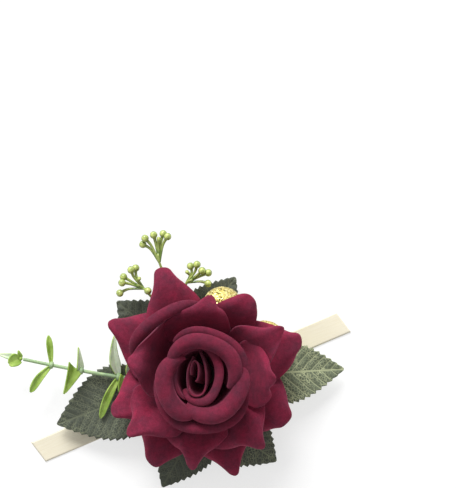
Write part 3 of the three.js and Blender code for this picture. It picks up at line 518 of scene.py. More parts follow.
def even_path(points, steps):
    """Evenly spaced points on a smooth curve through the given ones."""
    ends = [2 * points[0] - points[1], *points, 2 * points[-1] - points[-2]]
    fine_steps = 24
    dense = []
    for a, b, c, d in zip(ends, ends[1:], ends[2:], ends[3:]):
        for k in range(fine_steps):
            t = k / fine_steps
            bend = (2 * a - 5 * b + 4 * c - d) * t * t + (3 * b - a - 3 * c + d) * t ** 3
            dense.append((2 * b + (c - a) * t + bend) / 2)
    dense.append(points[-1])
    runs = [0]
    for a, b in zip(dense, dense[1:]):
        runs.append(runs[-1] + (b - a).length)
    path = []
    at = 0
    for k in range(steps + 1):
        goal = runs[-1] * k / steps
        while at < len(runs) - 2 and runs[at + 1] < goal:
            at += 1
        share = (goal - runs[at]) / max(runs[at + 1] - runs[at], 1e-9)
        path.append(dense[at].lerp(dense[at + 1], share))
    return path


def only(kind, parts):
    """The parts of a mesh that are of one kind."""
    return [part for part in parts if isinstance(part, kind)]


def tapered(start, end, steps):
    """Radii that change evenly from the first point of a path to its last."""
    return [mix(start, end, k / steps) for k in range(steps + 1)]


def tube(bm, path, radii, sides, material=0):
    """Extrudes a round section from point to point of a path, and closes both ends."""
    ring = bmesh.ops.create_circle(bm, cap_ends=True, segments=sides, radius=1)["verts"]
    edges = [edge for edge in bm.edges if all(vert in ring for vert in edge.verts)]
    made = set(ring[0].link_faces)
    placed = Matrix.Identity(4)
    for k, (point, radius) in enumerate(zip(path, radii)):
        ahead = path[min(k + 1, len(path) - 1)] - path[max(k - 1, 0)]
        turn = ahead.to_track_quat("Z", "Y").to_matrix().to_4x4()
        goal = Matrix.Translation(point) @ turn @ Matrix.Scale(radius, 4)
        if k:
            grown = bmesh.ops.extrude_edge_only(bm, edges=edges)["geom"]
            ring = only(BMVert, grown)
            edges = [edge for edge in only(BMEdge, grown) if all(vert in ring for vert in edge.verts)]
            made.update(only(BMFace, grown))
        bmesh.ops.transform(bm, matrix=goal @ placed.inverted(), verts=ring)
        placed = goal
    made.update(bmesh.ops.contextual_create(bm, geom=edges)["faces"])
    for face in made:
        face.material_index = material
    bmesh.ops.recalc_face_normals(bm, faces=list(made))


def sprig_point(share):
    """A point of the stem, which rises as it runs out from the glue."""
    x, y = share
    height = mix(SPRIG_ROOT_HEIGHT, SPRIG_RISE, sin(hypot(x, y) * pi / 2))
    return Vector((x * SPRIG_REACH, y * SPRIG_REACH, height))


sprig_path = even_path([sprig_point(share) for share in SPRIG_STEM_SHARES], SPRIG_STEPS)


def sprig_leaf_half_width(shape, v):
    half = SPRIG_REACH * shape.half_width
    rounding = sqrt(1 - 0.9 * smooth(v, 0.9, 1))
    if v < shape.widest:
        return half * mix(shape.root, 1, sin(v / shape.widest * pi / 2))
    past = (v - shape.widest) / (1 - shape.widest)
    return half * mix(1, shape.blunt, past ** shape.point) * rounding


def sprig_leaf(bm, root, shape):
    """Adds one leaf, with its upper face in the first material and its back in the second."""
    length = SPRIG_REACH * shape.length
    turn = turned(shape.heading) @ turned(-shape.pitch, "Y") @ turned(shape.twist, "X")
    grid = bmesh.ops.create_grid(bm, x_segments=12, y_segments=26, size=1)["verts"]
    faces = {face for vert in grid for face in vert.link_faces}
    for vert in grid:
        u, v = vert.co.x, (vert.co.y + 1) / 2
        width = sprig_leaf_half_width(shape, v)
        aside = length * (shape.shift[0] * (1 - v) + shape.shift[1] * sin(pi * v))
        groove = SPRIG_LEAF_GROOVE * exp(-(u / GROOVE_WIDTH_SHARE) ** 2) * (1 - v)
        height = width * SPRIG_LEAF_CUP_SHARE * u * u - length * SPRIG_LEAF_BOW_SHARE * v * v - groove
        vert.co = turn @ Vector((length * (PETIOLE_SHARE + v), u * width + aside, height)) + root
    bmesh.ops.recalc_face_normals(bm, faces=list(faces))
    top = turn @ Vector((0, 0, 1))
    if next(iter(faces)).normal.dot(top) < 0:
        bmesh.ops.reverse_faces(bm, faces=list(faces))
    grown = bmesh.ops.solidify(bm, geom=list(faces), thickness=SPRIG_LEAF_THICKNESS)["geom"]
    for face in faces:
        face.material_index = 1 if shape.pale else 0
    for face in only(BMFace, grown):
        face.material_index = 0 if shape.pale else 1


def bloomed_polythene(name, dark, light, roughness):
    """Moulded polythene of the eucalyptus, softly clouded, with a fine waxy grain."""
    material, node, place = textured_material(name)
    cloud = node("TexNoise", {"Vector": place, "Scale": 1 / (4 * MM), "Detail": 3})
    grain = node("TexNoise", {"Vector": place, "Scale": 1 / (0.4 * MM), "Detail": 2})
    tone = node("MapRange", {"Value": cloud, "From Min": 0.35, "From Max": 0.65})
    colour = node("Mix", {0: tone, 6: srgb(dark), 7: srgb(light)}, data_type="RGBA")
    bump = node("Bump", {"Height": grain, "Distance": 0.05 * MM, "Strength": 0.4})
    return finished(material, node("BsdfPrincipled", {
        "Base Color": colour, "Roughness": roughness, "IOR": 1.51, "Subsurface Weight": 0.15,
        "Subsurface Radius": POLYTHENE_GLOW, "Subsurface Scale": 1, "Normal": bump}))


leaf_face = bloomed_polythene("yellow_green_polythene", "#86a63e", "#adc964", 0.4)
leaf_back = bloomed_polythene("bloomed_polythene", "#bfd0b2", "#dbe6cf", 0.6)
stem_skin = bloomed_polythene("stem_polythene", "#86a07a", "#a5bd8c", 0.5)
sprig_finish = [leaf_face, leaf_back, stem_skin]

bm = bmesh.new()
stem_radii = tapered(STEM_RADIUS * STEM_ROOT_SHARE, STEM_RADIUS, SPRIG_STEPS)
tube(bm, sprig_path, stem_radii, sides=16, material=2)
piece(bm, "sprig_stem", sprig_finish, ["eucalyptus_stem"])

for number, (share, leaves) in enumerate(SPRIG_KNOT_SHARES, 1):
    bm = bmesh.new()
    at = round(share * SPRIG_STEPS)
    knot, along = sprig_path[at], (sprig_path[at + 1] - sprig_path[at - 1]).normalized()
    ring = STEM_RADIUS * STEM_ROOT_SHARE + CLEARANCE + COLLAR_WALL
    collar_path = [knot + along * COLLAR_LENGTH * station for station in COLLAR_STATION_SHARES]
    tube(bm, collar_path, [ring * swell for swell in COLLAR_SWELL_SHARES], sides=18, material=2)
    for shape in rows_of(SPRIG_LEAF_COLUMNS, leaves):
        sprig_leaf(bm, knot, shape)
    piece(bm, f"sprig_leaves_{number}", sprig_finish, [f"eucalyptus_leaf_pair_{number}"])

bm = bmesh.new()
onward = (sprig_path[-1] - sprig_path[-2]).normalized()
tip_knot = sprig_path[-1] + onward * (COLLAR_LENGTH / 2 + CLEARANCE)
bmesh.ops.create_icosphere(
    bm, subdivisions=3, radius=COLLAR_LENGTH / 2, matrix=Matrix.Translation(tip_knot))
for shape in rows_of(SPRIG_LEAF_COLUMNS, SPRIG_TIP_SHARES):
    sprig_leaf(bm, tip_knot, shape)
piece(bm, "sprig_tip", sprig_finish, ["eucalyptus_tip_leaves"])

# The berry sprays: one moulding each, a forked stem with a berry on every branch, dipped in yellow-green
# gloss lacquer. Painted light makes each berry lighter on its top and darker low on its sides.
BERRY_RADIUS = 1.55 * MM
BUD_BERRY_RADIUS = 0.8 * MM
BRANCH_RADIUS = 0.5 * MM
BRANCH_SAG = 0.6 * MM
BRANCH_FLARE_SHARE = 0.7
SPRAY_STEPS = 40
BRANCH_STEPS = 10
SPRAY_REACH = 57 * MM
# The painted light's level on stems and branches, between a berry's low sides and its top.
STEM_PAINTED_LIGHT_SHARE = 0.45

# Places as shares of the spray's reach: along the ribbon, across it, and up.
SPRAY_SHARES = rows_of("name stem berries bud", [
    ("left",
     [(-0.02, 0.1, 0.09), (-0.08, 0.5, 0.15), (-0.164, 0.799, 0.24), (-0.201, 0.847, 0.25)],
     [(-0.196, 0.963, 0.27), (-0.162, 0.963, 0.24), (-0.267, 0.939, 0.25), (-0.291, 0.904, 0.28),
      (-0.337, 0.842, 0.25), (-0.143, 0.778, 0.29)],
     (-0.166, 0.883, 0.28)),
    ("top",
     [(0, 0.12, 0.09), (0.01, 0.5, 0.15), (0.008, 0.891, 0.24), (0.026, 0.995, 0.26)],
     [(-0.015, 1.132, 0.28), (-0.048, 1.099, 0.25), (0.051, 1.13, 0.28), (0.117, 1.112, 0.26),
      (0.139, 1.08, 0.29)],
     (0.074, 1.092, 0.28)),
    ("right",
     [(0.03, 0.12, 0.09), (0.06, 0.45, 0.15), (0.118, 0.702, 0.24), (0.182, 0.728, 0.26)],
     [(0.254, 0.814, 0.28), (0.206, 0.821, 0.25), (0.27, 0.759, 0.29), (0.305, 0.728, 0.27),
      (0.273, 0.658, 0.27)],
     (0.167, 0.793, 0.26)),
])


def berry_lacquer():
    """Gloss-lacquered moulded plastic, with painted light: lighter on each berry's top, darker low down."""
    material, node, place = textured_material("lacquered_berry")
    cap = node("Attribute", attribute_name="cap").outputs["Fac"]
    cloud = node("TexNoise", {"Vector": place, "Scale": 1 / (1.2 * MM), "Detail": 3})
    sway = node("MapRange", {"Value": cloud, "To Min": -0.15, "To Max": 0.15})
    tone = node("Math", {0: cap, 1: sway}, operation="ADD", use_clamp=True)
    colour = node("Mix", {0: tone, 6: srgb("#5f7a28"), 7: srgb("#ccd878")}, data_type="RGBA")
    bump = node("Bump", {"Height": cloud, "Distance": 0.08 * MM, "Strength": 0.5})
    return finished(material, node("BsdfPrincipled", {
        "Base Color": colour, "Roughness": 0.35, "IOR": 1.5, "Coat Weight": 0.4, "Coat Roughness": 0.15,
        "Normal": bump}))


def berry(bm, cap, centre, radius, outward):
    """Adds a berry with a small dimpled eye at its outer end, and marks each point's height for painted
    light.
    """
    turn = outward.to_track_quat("Z", "Y").to_matrix().to_4x4()
    verts = bmesh.ops.create_uvsphere(bm, u_segments=20, v_segments=14, radius=1)["verts"]
    for vert in verts:
        from_end = acos(max(-1, min(1, vert.co.z)))
        dimple = 0.14 * exp(-(from_end / 0.28) ** 2)
        swell = 0.03 * exp(-((from_end - 0.5) / 0.2) ** 2)
        vert.co *= 1 - dimple + swell
    bmesh.ops.transform(bm, matrix=Matrix.Translation(centre) @ turn @ Matrix.Scale(radius, 4), verts=verts)
    # Painted light: 0 low on the berry's sides, where shade falls, and 1 on its lit top.
    for vert in verts:
        vert[cap] = smooth((vert.co.z - centre.z) / radius, 0.1, 0.9)


berry_finish = berry_lacquer()
for spray in SPRAY_SHARES:
    bm = bmesh.new()
    cap = bm.verts.layers.float.new("cap")
    stem = even_path([Vector(share) * SPRAY_REACH for share in spray.stem], SPRAY_STEPS)
    tube(bm, stem, tapered(STEM_RADIUS, BRANCH_RADIUS, SPRAY_STEPS), sides=12)
    # The stem takes one even, middling level of the painted light.
    for vert in bm.verts:
        vert[cap] = STEM_PAINTED_LIGHT_SHARE
    fruits = [*((share, BERRY_RADIUS) for share in spray.berries), (spray.bud, BUD_BERRY_RADIUS)]
    for share, radius in fruits:
        centre = Vector(share) * SPRAY_REACH
        sag = Vector((0, 0, -BRANCH_SAG))
        branch = even_path([stem[-4], (stem[-1] + centre) / 2 + sag, centre], BRANCH_STEPS)
        flare = [1 + BRANCH_FLARE_SHARE * k ** 4 for k in tapered(0, 1, BRANCH_STEPS)]
        before = len(bm.verts)
        tube(bm, branch, [BRANCH_RADIUS * share for share in flare], sides=10)
        bm.verts.ensure_lookup_table()
        # The branch takes the same middling level of the painted light.
        for vert in bm.verts[before:]:
            vert[cap] = STEM_PAINTED_LIGHT_SHARE
        berry(bm, cap, centre, radius, centre - branch[-3])
    piece(bm, f"berries_{spray.name}", [berry_finish], [f"berry_spray_{spray.name}"])

# The glitter balls: foam balls rolled in gold glitter, each on a green lacquered wire pick that is pushed
# into it and glued under the rose. The real flakes are 0.4 mm across and are drawn at 0.6 mm so that they
# show.
BALL_RADIUS = 8.3 * MM
FLAKE_SIZE = 0.6 * MM
CLUMP_SIZE = 0.8 * MM
CLUMP_HEIGHT = 0.14 * MM


def gold_glitter():
    """Loose metallised film flakes, each tilted its own way. Some, at random, are painted olive as shade
    and some nearly white as glints.
    """
    material, node, place = textured_material("gold_glitter")
    flakes = node("TexVoronoi", {"Vector": place, "Scale": 1 / FLAKE_SIZE, "Randomness": 1})
    chance = node("SeparateColor", {0: flakes.outputs["Color"]})
    # Painted shade and painted glints: flakes picked at random go olive, and others nearly white.
    flakes_painted_in_shade = node("MapRange", {"Value": chance, "From Min": 0.15, "From Max": 0.35})
    flakes_painted_as_glints = node("MapRange", {"Value": chance, "From Min": 0.55, "From Max": 0.8})
    colour = node("Mix", {0: flakes_painted_in_shade, 6: srgb("#7d6e28"), 7: srgb("#d2bf6a")}, data_type="RGBA")
    colour = node("Mix", {0: flakes_painted_as_glints, 6: colour, 7: srgb("#f4e7a2")}, data_type="RGBA")
    tilt = node("VectorMath", {0: flakes.outputs["Color"], 1: (0.5, 0.5, 0.5)}, operation="SUBTRACT")
    tilt = node("VectorMath", {0: tilt, "Scale": 0.9}, operation="SCALE")
    facing = node("NewGeometry").outputs["Normal"]
    facing = node("VectorMath", {0: facing, 1: tilt}, operation="ADD")
    facing = node("VectorMath", {0: facing}, operation="NORMALIZE")
    return finished(material, node("BsdfPrincipled", {
        "Base Color": colour, "Metallic": 0.6, "Roughness": 0.4, "Normal": facing}))


def lacquered_wire():
    """Florist's steel wire in green lacquer, scuffed here and there to bare metal."""
    material, node, place = textured_material("lacquered_wire")
    scuff = node("TexNoise", {"Vector": place, "Scale": 1 / (1.5 * MM), "Detail": 4})
    bare = node("MapRange", {"Value": scuff, "From Min": 0.62, "From Max": 0.68})
    colour = node("Mix", {0: bare, 6: srgb("#4c6a3a"), 7: srgb("#a8a9a4")}, data_type="RGBA")
    return finished(material, node("BsdfPrincipled", {
        "Base Color": colour, "Metallic": bare, "Roughness": 0.4}))


glitter = gold_glitter()
wire = lacquered_wire()
for number in (1, 2):
    low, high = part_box(f"gold_ball_{number}")
    centre = (low + high) / 2
    bm = bmesh.new()
    bmesh.ops.create_icosphere(bm, subdivisions=6, radius=BALL_RADIUS)
    for vert in bm.verts:
        clump = noise.cell(vert.co / CLUMP_SIZE) - 1
        vert.co *= 1 + CLUMP_HEIGHT / BALL_RADIUS * clump
    bmesh.ops.translate(bm, vec=centre, verts=bm.verts)
    piece(bm, f"glitter_ball_{number}", [glitter], [f"gold_ball_{number}"])
    finish_node(f"gold_ball_pick_{number}", wire)

# The rose's middle: a burgundy polythene post that the petals are threaded on, and a foam core that the
# bud is wound round. Both are nearly hidden once the petals are on.
calyx_bottom, calyx_top = (corner.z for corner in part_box("calyx"))
flower_axis = sum(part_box("flower_post"), Vector()) / 2
flower_axis.z = 0
finish_node("flower_post", moulded_polythene("burgundy_polythene", "#22090f", "#3a101b"))


def dyed_foam():
    """Open-celled foam dyed to match the petals, with half-millimetre cells."""
    material, node, place = textured_material("dyed_foam")
    cells = node("TexVoronoi", {"Vector": place, "Scale": 1 / (0.5 * MM)})
    colour = node("Mix", {0: cells.outputs["Distance"], 6: srgb("#3c0f1c"), 7: srgb("#6a1f35")},
                  data_type="RGBA")
    bump = node("Bump", {"Height": cells.outputs["Distance"], "Distance": 0.2 * MM, "Strength": 0.8})
    return finished(material, node("BsdfPrincipled", {
        "Base Color": colour, "Roughness": 0.95, "Normal": bump}))


finish_node("bud_core", dyed_foam())

# The spread petals: die-cut from flocked velvet and pressed hot, so that each bellies out from the post
# and its two flanks roll back at the tip. Eight outer petals lie under seven that stand up round the cup.
ROSE_RADIUS = 44 * MM
ROSE_HEIGHT = 36 * MM
PETAL_THICKNESS = 0.7 * MM
PETAL_SEAT_RADIUS = 5.3 * MM
PETAL_SEAT_HALF_WIDTH = 2.6 * MM
LAYER_STEP = 1.15 * MM
PINWHEEL = 1.6 * MM
FLAT_SHARE = 0.35
ROLL_FROM_SHARE = 0.3
TIP_ROUND_SHARE = 0.07
CUT_LENGTH_SHARE = 1.2
PETAL_RIPPLE = 0.3 * MM

# Azimuth, lean, cup and roll are in degrees, and a negative roll turns a flank forwards. The midline's
# bowl, lip and tip are each a share of the flower's radius and then of its height. The half widths of the
# right and left flank and of the blunt tip are shares of the radius. Widest is the share of the midline
# at which the petal is widest, and point the power by which it narrows from there.
SPREAD_COLUMNS = "azimuth lean cup roll widest point blunt half_widths bowl lip tip"
OUTER_PETAL_SHARES = rows_of(SPREAD_COLUMNS, [
    (-7, 3, 20, (130, 130), 0.45, 1, 0.1, (0.27, 0.36), (0.5, 0.02), (0.78, 0.56), (0.96, 0.34)),
    (35, 0, 15, (90, 80), 0.5, 1.1, 0.1, (0.19, 0.28), (0.5, 0.05), (0.62, 0.62), (0.85, 0.46)),
    (88.5, 0, 10, (140, 140), 0.42, 1, 0.1, (0.25, 0.36), (0.5, 0), (0.8, 0.4), (1.05, 0.2)),
    (128, 0, 10, (140, 140), 0.42, 1, 0.05, (0.34, 0.34), (0.5, 0), (0.75, 0.3), (0.99, 0.22)),
    (180, 0, 10, (130, 130), 0.42, 1, 0.08, (0.34, 0.32), (0.5, 0), (0.7, 0.3), (0.92, 0.16)),
    (217, 0, 10, (120, 120), 0.42, 1.2, 0.1, (0.34, 0.3), (0.5, 0), (0.78, 0.3), (0.98, 0.1)),
    (264, 0, 10, (140, 140), 0.42, 1, 0.05, (0.36, 0.34), (0.5, 0), (0.78, 0.3), (1, 0.12)),
    (307, 0, 10, (110, 110), 0.45, 1.2, 0.12, (0.29, 0.36), (0.5, 0), (0.75, 0.34), (0.91, 0.16)),
])
MIDDLE_PETAL_SHARES = rows_of(SPREAD_COLUMNS, [
    (334, 0, 35, (120, 105), 0.5, 1.2, 0.05, (0.27, 0.36), (0.5, 0.2), (0.5, 0.86), (0.66, 0.66)),
    (286, 0, 30, (135, 135), 0.5, 1, 0.05, (0.36, 0.3), (0.5, 0.2), (0.62, 0.66), (0.87, 0.38)),
    (240, 0, 30, (140, 140), 0.5, 0.9, 0.05, (0.3, 0.3), (0.5, 0.2), (0.6, 0.66), (0.87, 0.36)),
    (195, 0, 30, (140, 130), 0.5, 1, 0.05, (0.29, 0.3), (0.5, 0.2), (0.6, 0.7), (0.87, 0.42)),
    (142, 0, 35, (-40, 90), 0.5, 1, 0.05, (0.56, 0.3), (0.52, 0.2), (0.42, 0.92), (0.68, 0.7)),
    (60, 0, 30, (130, 80), 0.4, 1, 0.05, (0.21, 0.48), (0.5, 0.2), (0.48, 0.95), (0.74, 0.66)),
    (3, 5, 35, (-10, 125), 0.5, 1.2, 0.05, (0.22, 0.26), (0.55, 0.15), (0.5, 0.85), (0.86, 0.66)),
])


def flocked_velvet(name, dark, light):
    """Flocked velvet: burgundy nylon pile 0.4 mm long on a woven back. It is deep and matt face on, paler
    where its pile is seen from the side, and brushed into soft darker patches."""
    material, node, place = textured_material(name)
    brushed = node("TexNoise", {"Vector": place, "Scale": 1 / (6 * MM), "Detail": 4, "Roughness": 0.6})
    strokes = node("TexNoise", {"Vector": place, "Scale": 1 / (1.6 * MM), "Detail": 3, "Distortion": 0.6})
    pile = node("TexNoise", {"Vector": place, "Scale": 1 / (0.35 * MM), "Detail": 2})
    usual = {"From Min": 0.3, "From Max": 0.7}
    lie = node("MapRange", {"Value": brushed, **usual})
    colour = node("Mix", {0: lie, 6: srgb(dark), 7: srgb(light)}, data_type="RGBA")
    streak = node("MapRange", {"Value": strokes, **usual, "To Min": 0.85, "To Max": 1.15})
    fleck = node("MapRange", {"Value": pile, **usual, "To Min": 0.8, "To Max": 1.15})
    uneven = node("Math", {0: streak, 1: fleck}, operation="MULTIPLY")
    colour = node("Mix", {0: 1, 6: colour, 7: uneven}, data_type="RGBA", blend_type="MULTIPLY")
    shine = node("MapRange", {"Value": brushed, **usual, "To Min": 0.35, "To Max": 0.7})
    bump = node("Bump", {"Height": pile, "Distance": 0.12 * MM, "Strength": 0.6})
    return finished(material, node("BsdfPrincipled", {
        "Base Color": colour, "Roughness": 0.95, "Specular IOR Level": 0.25, "Sheen Weight": shine,
        "Sheen Roughness": 0.4, "Sheen Tint": srgb("#c4607e"), "Normal": bump}))


def cut_edge():
    """The velvet's die-cut edge: its woven back shows through the pile, with a painted highlight on it."""
    material, node, place = textured_material("cut_velvet_edge_highlight")
    threads = node("TexNoise", {"Vector": place, "Scale": 1 / (0.4 * MM), "Detail": 3})
    # Paler pink than the face: partly the woven back, partly painted highlight along the edge.
    colour = node("Mix", {0: threads, 6: srgb("#5a2234"), 7: srgb("#7c3e52")}, data_type="RGBA")
    bump = node("Bump", {"Height": threads, "Distance": 0.1 * MM, "Strength": 0.7})
    return finished(material, node("BsdfPrincipled", {
        "Base Color": colour, "Roughness": 0.95, "Normal": bump}))


def cut_half_width(shape, u, v):
    """The width of a spread petal's flat cut on one side of its midline."""
    right, left = shape.half_widths
    half = ROSE_RADIUS * (right if u < 0 else left)
    t = min(max(v, 0), 1)
    if t < shape.widest:
        return mix(PETAL_SEAT_HALF_WIDTH, half, sin(t / shape.widest * pi / 2) ** 1.2)
    past = (t - shape.widest) / (1 - shape.widest)
    return mix(half, ROSE_RADIUS * shape.blunt, past ** shape.point)


def midline(points, t):
    """A cubic curve's point and direction, out from the flower's axis and up."""
    a, b, c, d = points
    place = a * (1 - t) ** 3 + b * 3 * t * (1 - t) ** 2 + c * 3 * t * t * (1 - t) + d * t ** 3
    slope = (b - a) * (1 - t) ** 2 + (c - b) * 2 * t * (1 - t) + (d - c) * t * t
    return place, slope.normalized()


def spread_petal(shape, seat, number):
    """A petal that runs out along its midline, with a flat middle and flanks that bend as it goes."""
    points = [Vector((PETAL_SEAT_RADIUS, seat))]
    for out, up in (shape.bowl, shape.lip, shape.tip):
        points.append(Vector((ROSE_RADIUS * out, calyx_top + ROSE_HEIGHT * up)))
    length = ROSE_RADIUS * CUT_LENGTH_SHARE

    def surface(u, v):
        along = v - TIP_ROUND_SHARE * u * u * smooth(v, 0.55, 1)
        centre, direction = midline(points, along)
        side_roll = shape.roll[0] if u < 0 else shape.roll[1]
        bend = radians(mix(-shape.cup, side_roll, smooth(along, ROLL_FROM_SHARE, 1)))
        bend = bend if abs(bend) > 1e-3 else 1e-3
        half = cut_half_width(shape, u, along)
        bent = bend * max(abs(u) - FLAT_SHARE, 0) / (1 - FLAT_SHARE)
        sideways = half * (min(abs(u), FLAT_SHARE) + (1 - FLAT_SHARE) * sin(bent) / bend)
        back = half * (1 - FLAT_SHARE) * (1 - cos(bent)) / bend
        wave = sin(7 * v + 3.5 * u + number)
        ripple = PETAL_RIPPLE * wave * smooth(abs(u), 0.3, 1) * smooth(v, 0.2, 0.6)
        lift = PINWHEEL * u * smooth(v, 0, 0.4) - back + ripple
        turn = turned(shape.azimuth + shape.lean * v * v)
        place = (centre.x - direction.y * lift, copysign(sideways, u), centre.y + direction.x * lift)
        return turn @ Vector(place) + flower_axis

    return sheet_mesh(
        surface, lambda u, v: (u * cut_half_width(shape, u, v), v * length), columns=32, rows=40)


# The spread petals take the velvet's plain colours. The wrapped ones take a darker copy of the same velvet,
# which paints shade into the cup and the bud.
spread_velvet = flocked_velvet("flocked_velvet_out", "#6c2a3f", "#8f2542")
# A darker copy of the same velvet, which paints shade on the cup and the bud.
shade_painted_velvet = flocked_velvet("flocked_velvet_painted_shade", "#592436", "#7a2039")
velvet_edge_with_highlight = cut_edge()


def velvet_petal(bm, name, velvet):
    """Finishes a petal with velvet on its faces and the cut edge, with its painted highlight, round its
    rim.
    """
    made = piece(bm, "velvet_" + name, [velvet, velvet_edge_with_highlight], [name])
    thicken(made, PETAL_THICKNESS, levels=1).material_offset_rim = 1


for row, shapes, first_seat in (("outer", OUTER_PETAL_SHARES, 1), ("middle", MIDDLE_PETAL_SHARES, 3)):
    for number, shape in enumerate(shapes):
        seat = calyx_top + (first_seat + number % 2) * LAYER_STEP
        velvet_petal(spread_petal(shape, seat, number), f"{row}_petal_{number + 1}", spread_velvet)

# The cup and the bud: petals that wrap round the core, in the velvet's darker copy with painted shade.
# Each one's wall stands up and its rim rolls outwards. The heart is squeezed to a teardrop, and shows
# its cut edges.
WALL_SHARE = 0.34
WALL_BULGE_SHARE = 0.35
LIP_TAPER_SHARE = 0.75
LIP_RIPPLE_SHARE = 0.02
BUD_AZIMUTH = 67
BUD_LEAN_AZIMUTH = 112
CORE_TIP_RADIUS = 1 * MM
WRAP_STEP = 1.1 * MM
BUD_SEAT_GAP = 0.4 * MM
HEART_SEAT_SHARE = 0.62
HEART_TAPER_SHARE = 0.55
CUP_LAYERS = (7, 6, 5)
RIM_LAYERS = (4.5, 4, 3.5)

# Azimuth, span and curl are in degrees. The wall's radius, the lip's and the lean are shares of the
# flower's radius, and the rim and its drop at the flanks are shares of its height. Squeeze and taper turn
# the round wall into an oval and an egg, and wind is a share of the pinwheel.
WRAPPED_COLUMNS = "azimuth span radius lip rim squeeze taper wind drop curl lean"
BUD_PETAL_SHARES = rows_of(WRAPPED_COLUMNS, [
    (30, 140, 0.065, 0.015, 0.84, 0.48, 0, 0.3, 0.02, 60, 0.08),
    (250, 152, 0.14, 0.015, 0.86, 0.42, 0.3, 0.4, 0.06, 60, 0.065),
    (320, 125, 0.19, 0.042, 0.88, 0.17, 0, 0.5, 0.1, 130, 0.05),
    (138, 84, 0.215, 0.02, 0.86, 0.12, 0, 0.5, 0.1, 90, 0.05),
])
CUP_PETAL_SHARES = rows_of(WRAPPED_COLUMNS, [
    (45, 87, 0.27, 0.07, 1, 0, 0, 0.8, 0.12, 150, 0),
    (172, 68, 0.26, 0.08, 0.97, 0, 0, 0.8, 0.12, 150, 0),
    (292, 76, 0.275, 0.075, 0.96, 0, 0, 0.8, 0.12, 150, 0),
])
RIM_PETAL_SHARES = rows_of(WRAPPED_COLUMNS, [
    (35, 70, 0.365, 0.055, 0.92, 0, 0, 0.8, 0.15, 130, 0),
    (235, 85, 0.39, 0.06, 0.84, 0, 0, 0.8, 0.2, 130, 0),
    (104, 37, 0.62, 0.055, 0.74, 0, 0, 0.2, 0.25, 150, 0),
])
core_bottom, core_top = (corner.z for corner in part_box("bud_core"))
core_radius = (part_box("bud_core")[1].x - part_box("bud_core")[0].x) / 2
bud_turn = turned(BUD_AZIMUTH)
lean_direction = turned(BUD_LEAN_AZIMUTH) @ Vector((1, 0, 0))


def wrapped_petal(shape, seat, seat_radius, number):
    """A petal that stands up round the core on an oval and rolls its rim outwards."""
    radius = ROSE_RADIUS * shape.radius
    lip_radius = ROSE_RADIUS * shape.lip
    rim = calyx_top + ROSE_HEIGHT * shape.rim
    half_wrap = radius * radians(shape.span)
    height_flat = rim - seat + lip_radius * radians(shape.curl)

    def surface(u, v):
        turn = radians(shape.azimuth + shape.span * u - BUD_AZIMUTH)
        wrap = radius + PINWHEEL * shape.wind * u
        long = wrap * (1 + shape.squeeze)
        narrow = wrap * (1 - shape.squeeze) * (1 - shape.taper * cos(turn))
        lip = lip_radius * (1 - LIP_TAPER_SHARE * u ** 4)
        top = rim - ROSE_HEIGHT * shape.drop * abs(u) ** 3 - lip
        wall = min(v / WALL_SHARE, 1)
        curl = max((v - WALL_SHARE) / (1 - WALL_SHARE), 0) * radians(shape.curl)
        spread = sin(wall * pi / 2)
        ripple = radius * LIP_RIPPLE_SHARE * sin(5 * turn + number) * smooth(v, 0.2, 0.6)
        lip_out = lip * (1 - cos(curl)) + ripple
        height = mix(seat, top, mix(wall, wall * wall, WALL_BULGE_SHARE)) + lip * sin(curl)
        place = (cos(turn) * (mix(seat_radius, long, spread) + lip_out),
                 sin(turn) * (mix(seat_radius, narrow, spread) + lip_out), height)
        return bud_turn @ Vector(place) + wall * ROSE_RADIUS * shape.lean * lean_direction + flower_axis

    return sheet_mesh(surface, lambda u, v: (u * half_wrap, v * height_flat), columns=56, rows=36)


bud_seat_radius = core_radius + CLEARANCE + BUD_SEAT_GAP
heart_seat = core_bottom + (core_top - core_bottom) * HEART_SEAT_SHARE
heart_seat_radius = mix(core_radius, CORE_TIP_RADIUS, HEART_TAPER_SHARE) + WRAP_STEP
bud_seats = [(heart_seat, heart_seat_radius)]
bud_seats += [(core_bottom + WRAP_STEP, bud_seat_radius + k * WRAP_STEP) for k in range(3)]
cup_seats = [(calyx_top + layer * LAYER_STEP, PETAL_SEAT_RADIUS) for layer in CUP_LAYERS]
rim_seats = [(calyx_top + layer * LAYER_STEP, PETAL_SEAT_RADIUS) for layer in RIM_LAYERS]
for row, shapes, seats in (("bud", BUD_PETAL_SHARES, bud_seats), ("cup", CUP_PETAL_SHARES, cup_seats),
                           ("rim", RIM_PETAL_SHARES, rim_seats)):
    for number, (shape, seat) in enumerate(zip(shapes, seats)):
        velvet_petal(wrapped_petal(shape, *seat, number), f"{row}_petal_{number + 1}", shade_painted_velvet)

# The calyx: a polythene cup with five drooping sepals, pushed on the post from below. It locks the petals
# on.
CALYX_RADIUS = 7.2 * MM
CALYX_NECK_RADIUS = 4.2 * MM
SEPAL_COUNT = 5
SEPAL_LENGTH = 13 * MM
SEPAL_WIDTH = 5.5 * MM
SEPAL_THICKNESS = 0.7 * MM
SEPAL_WALL = 0.56 * MM
SEPAL_DROOP = 3 * MM
SEPAL_TIP_HALF_WIDTH = 0.3 * MM
SEPAL_HOLLOW = 0.5 * MM
WELD = 0.001 * MM

bm = bmesh.new()
calyx_height = calyx_top - calyx_bottom
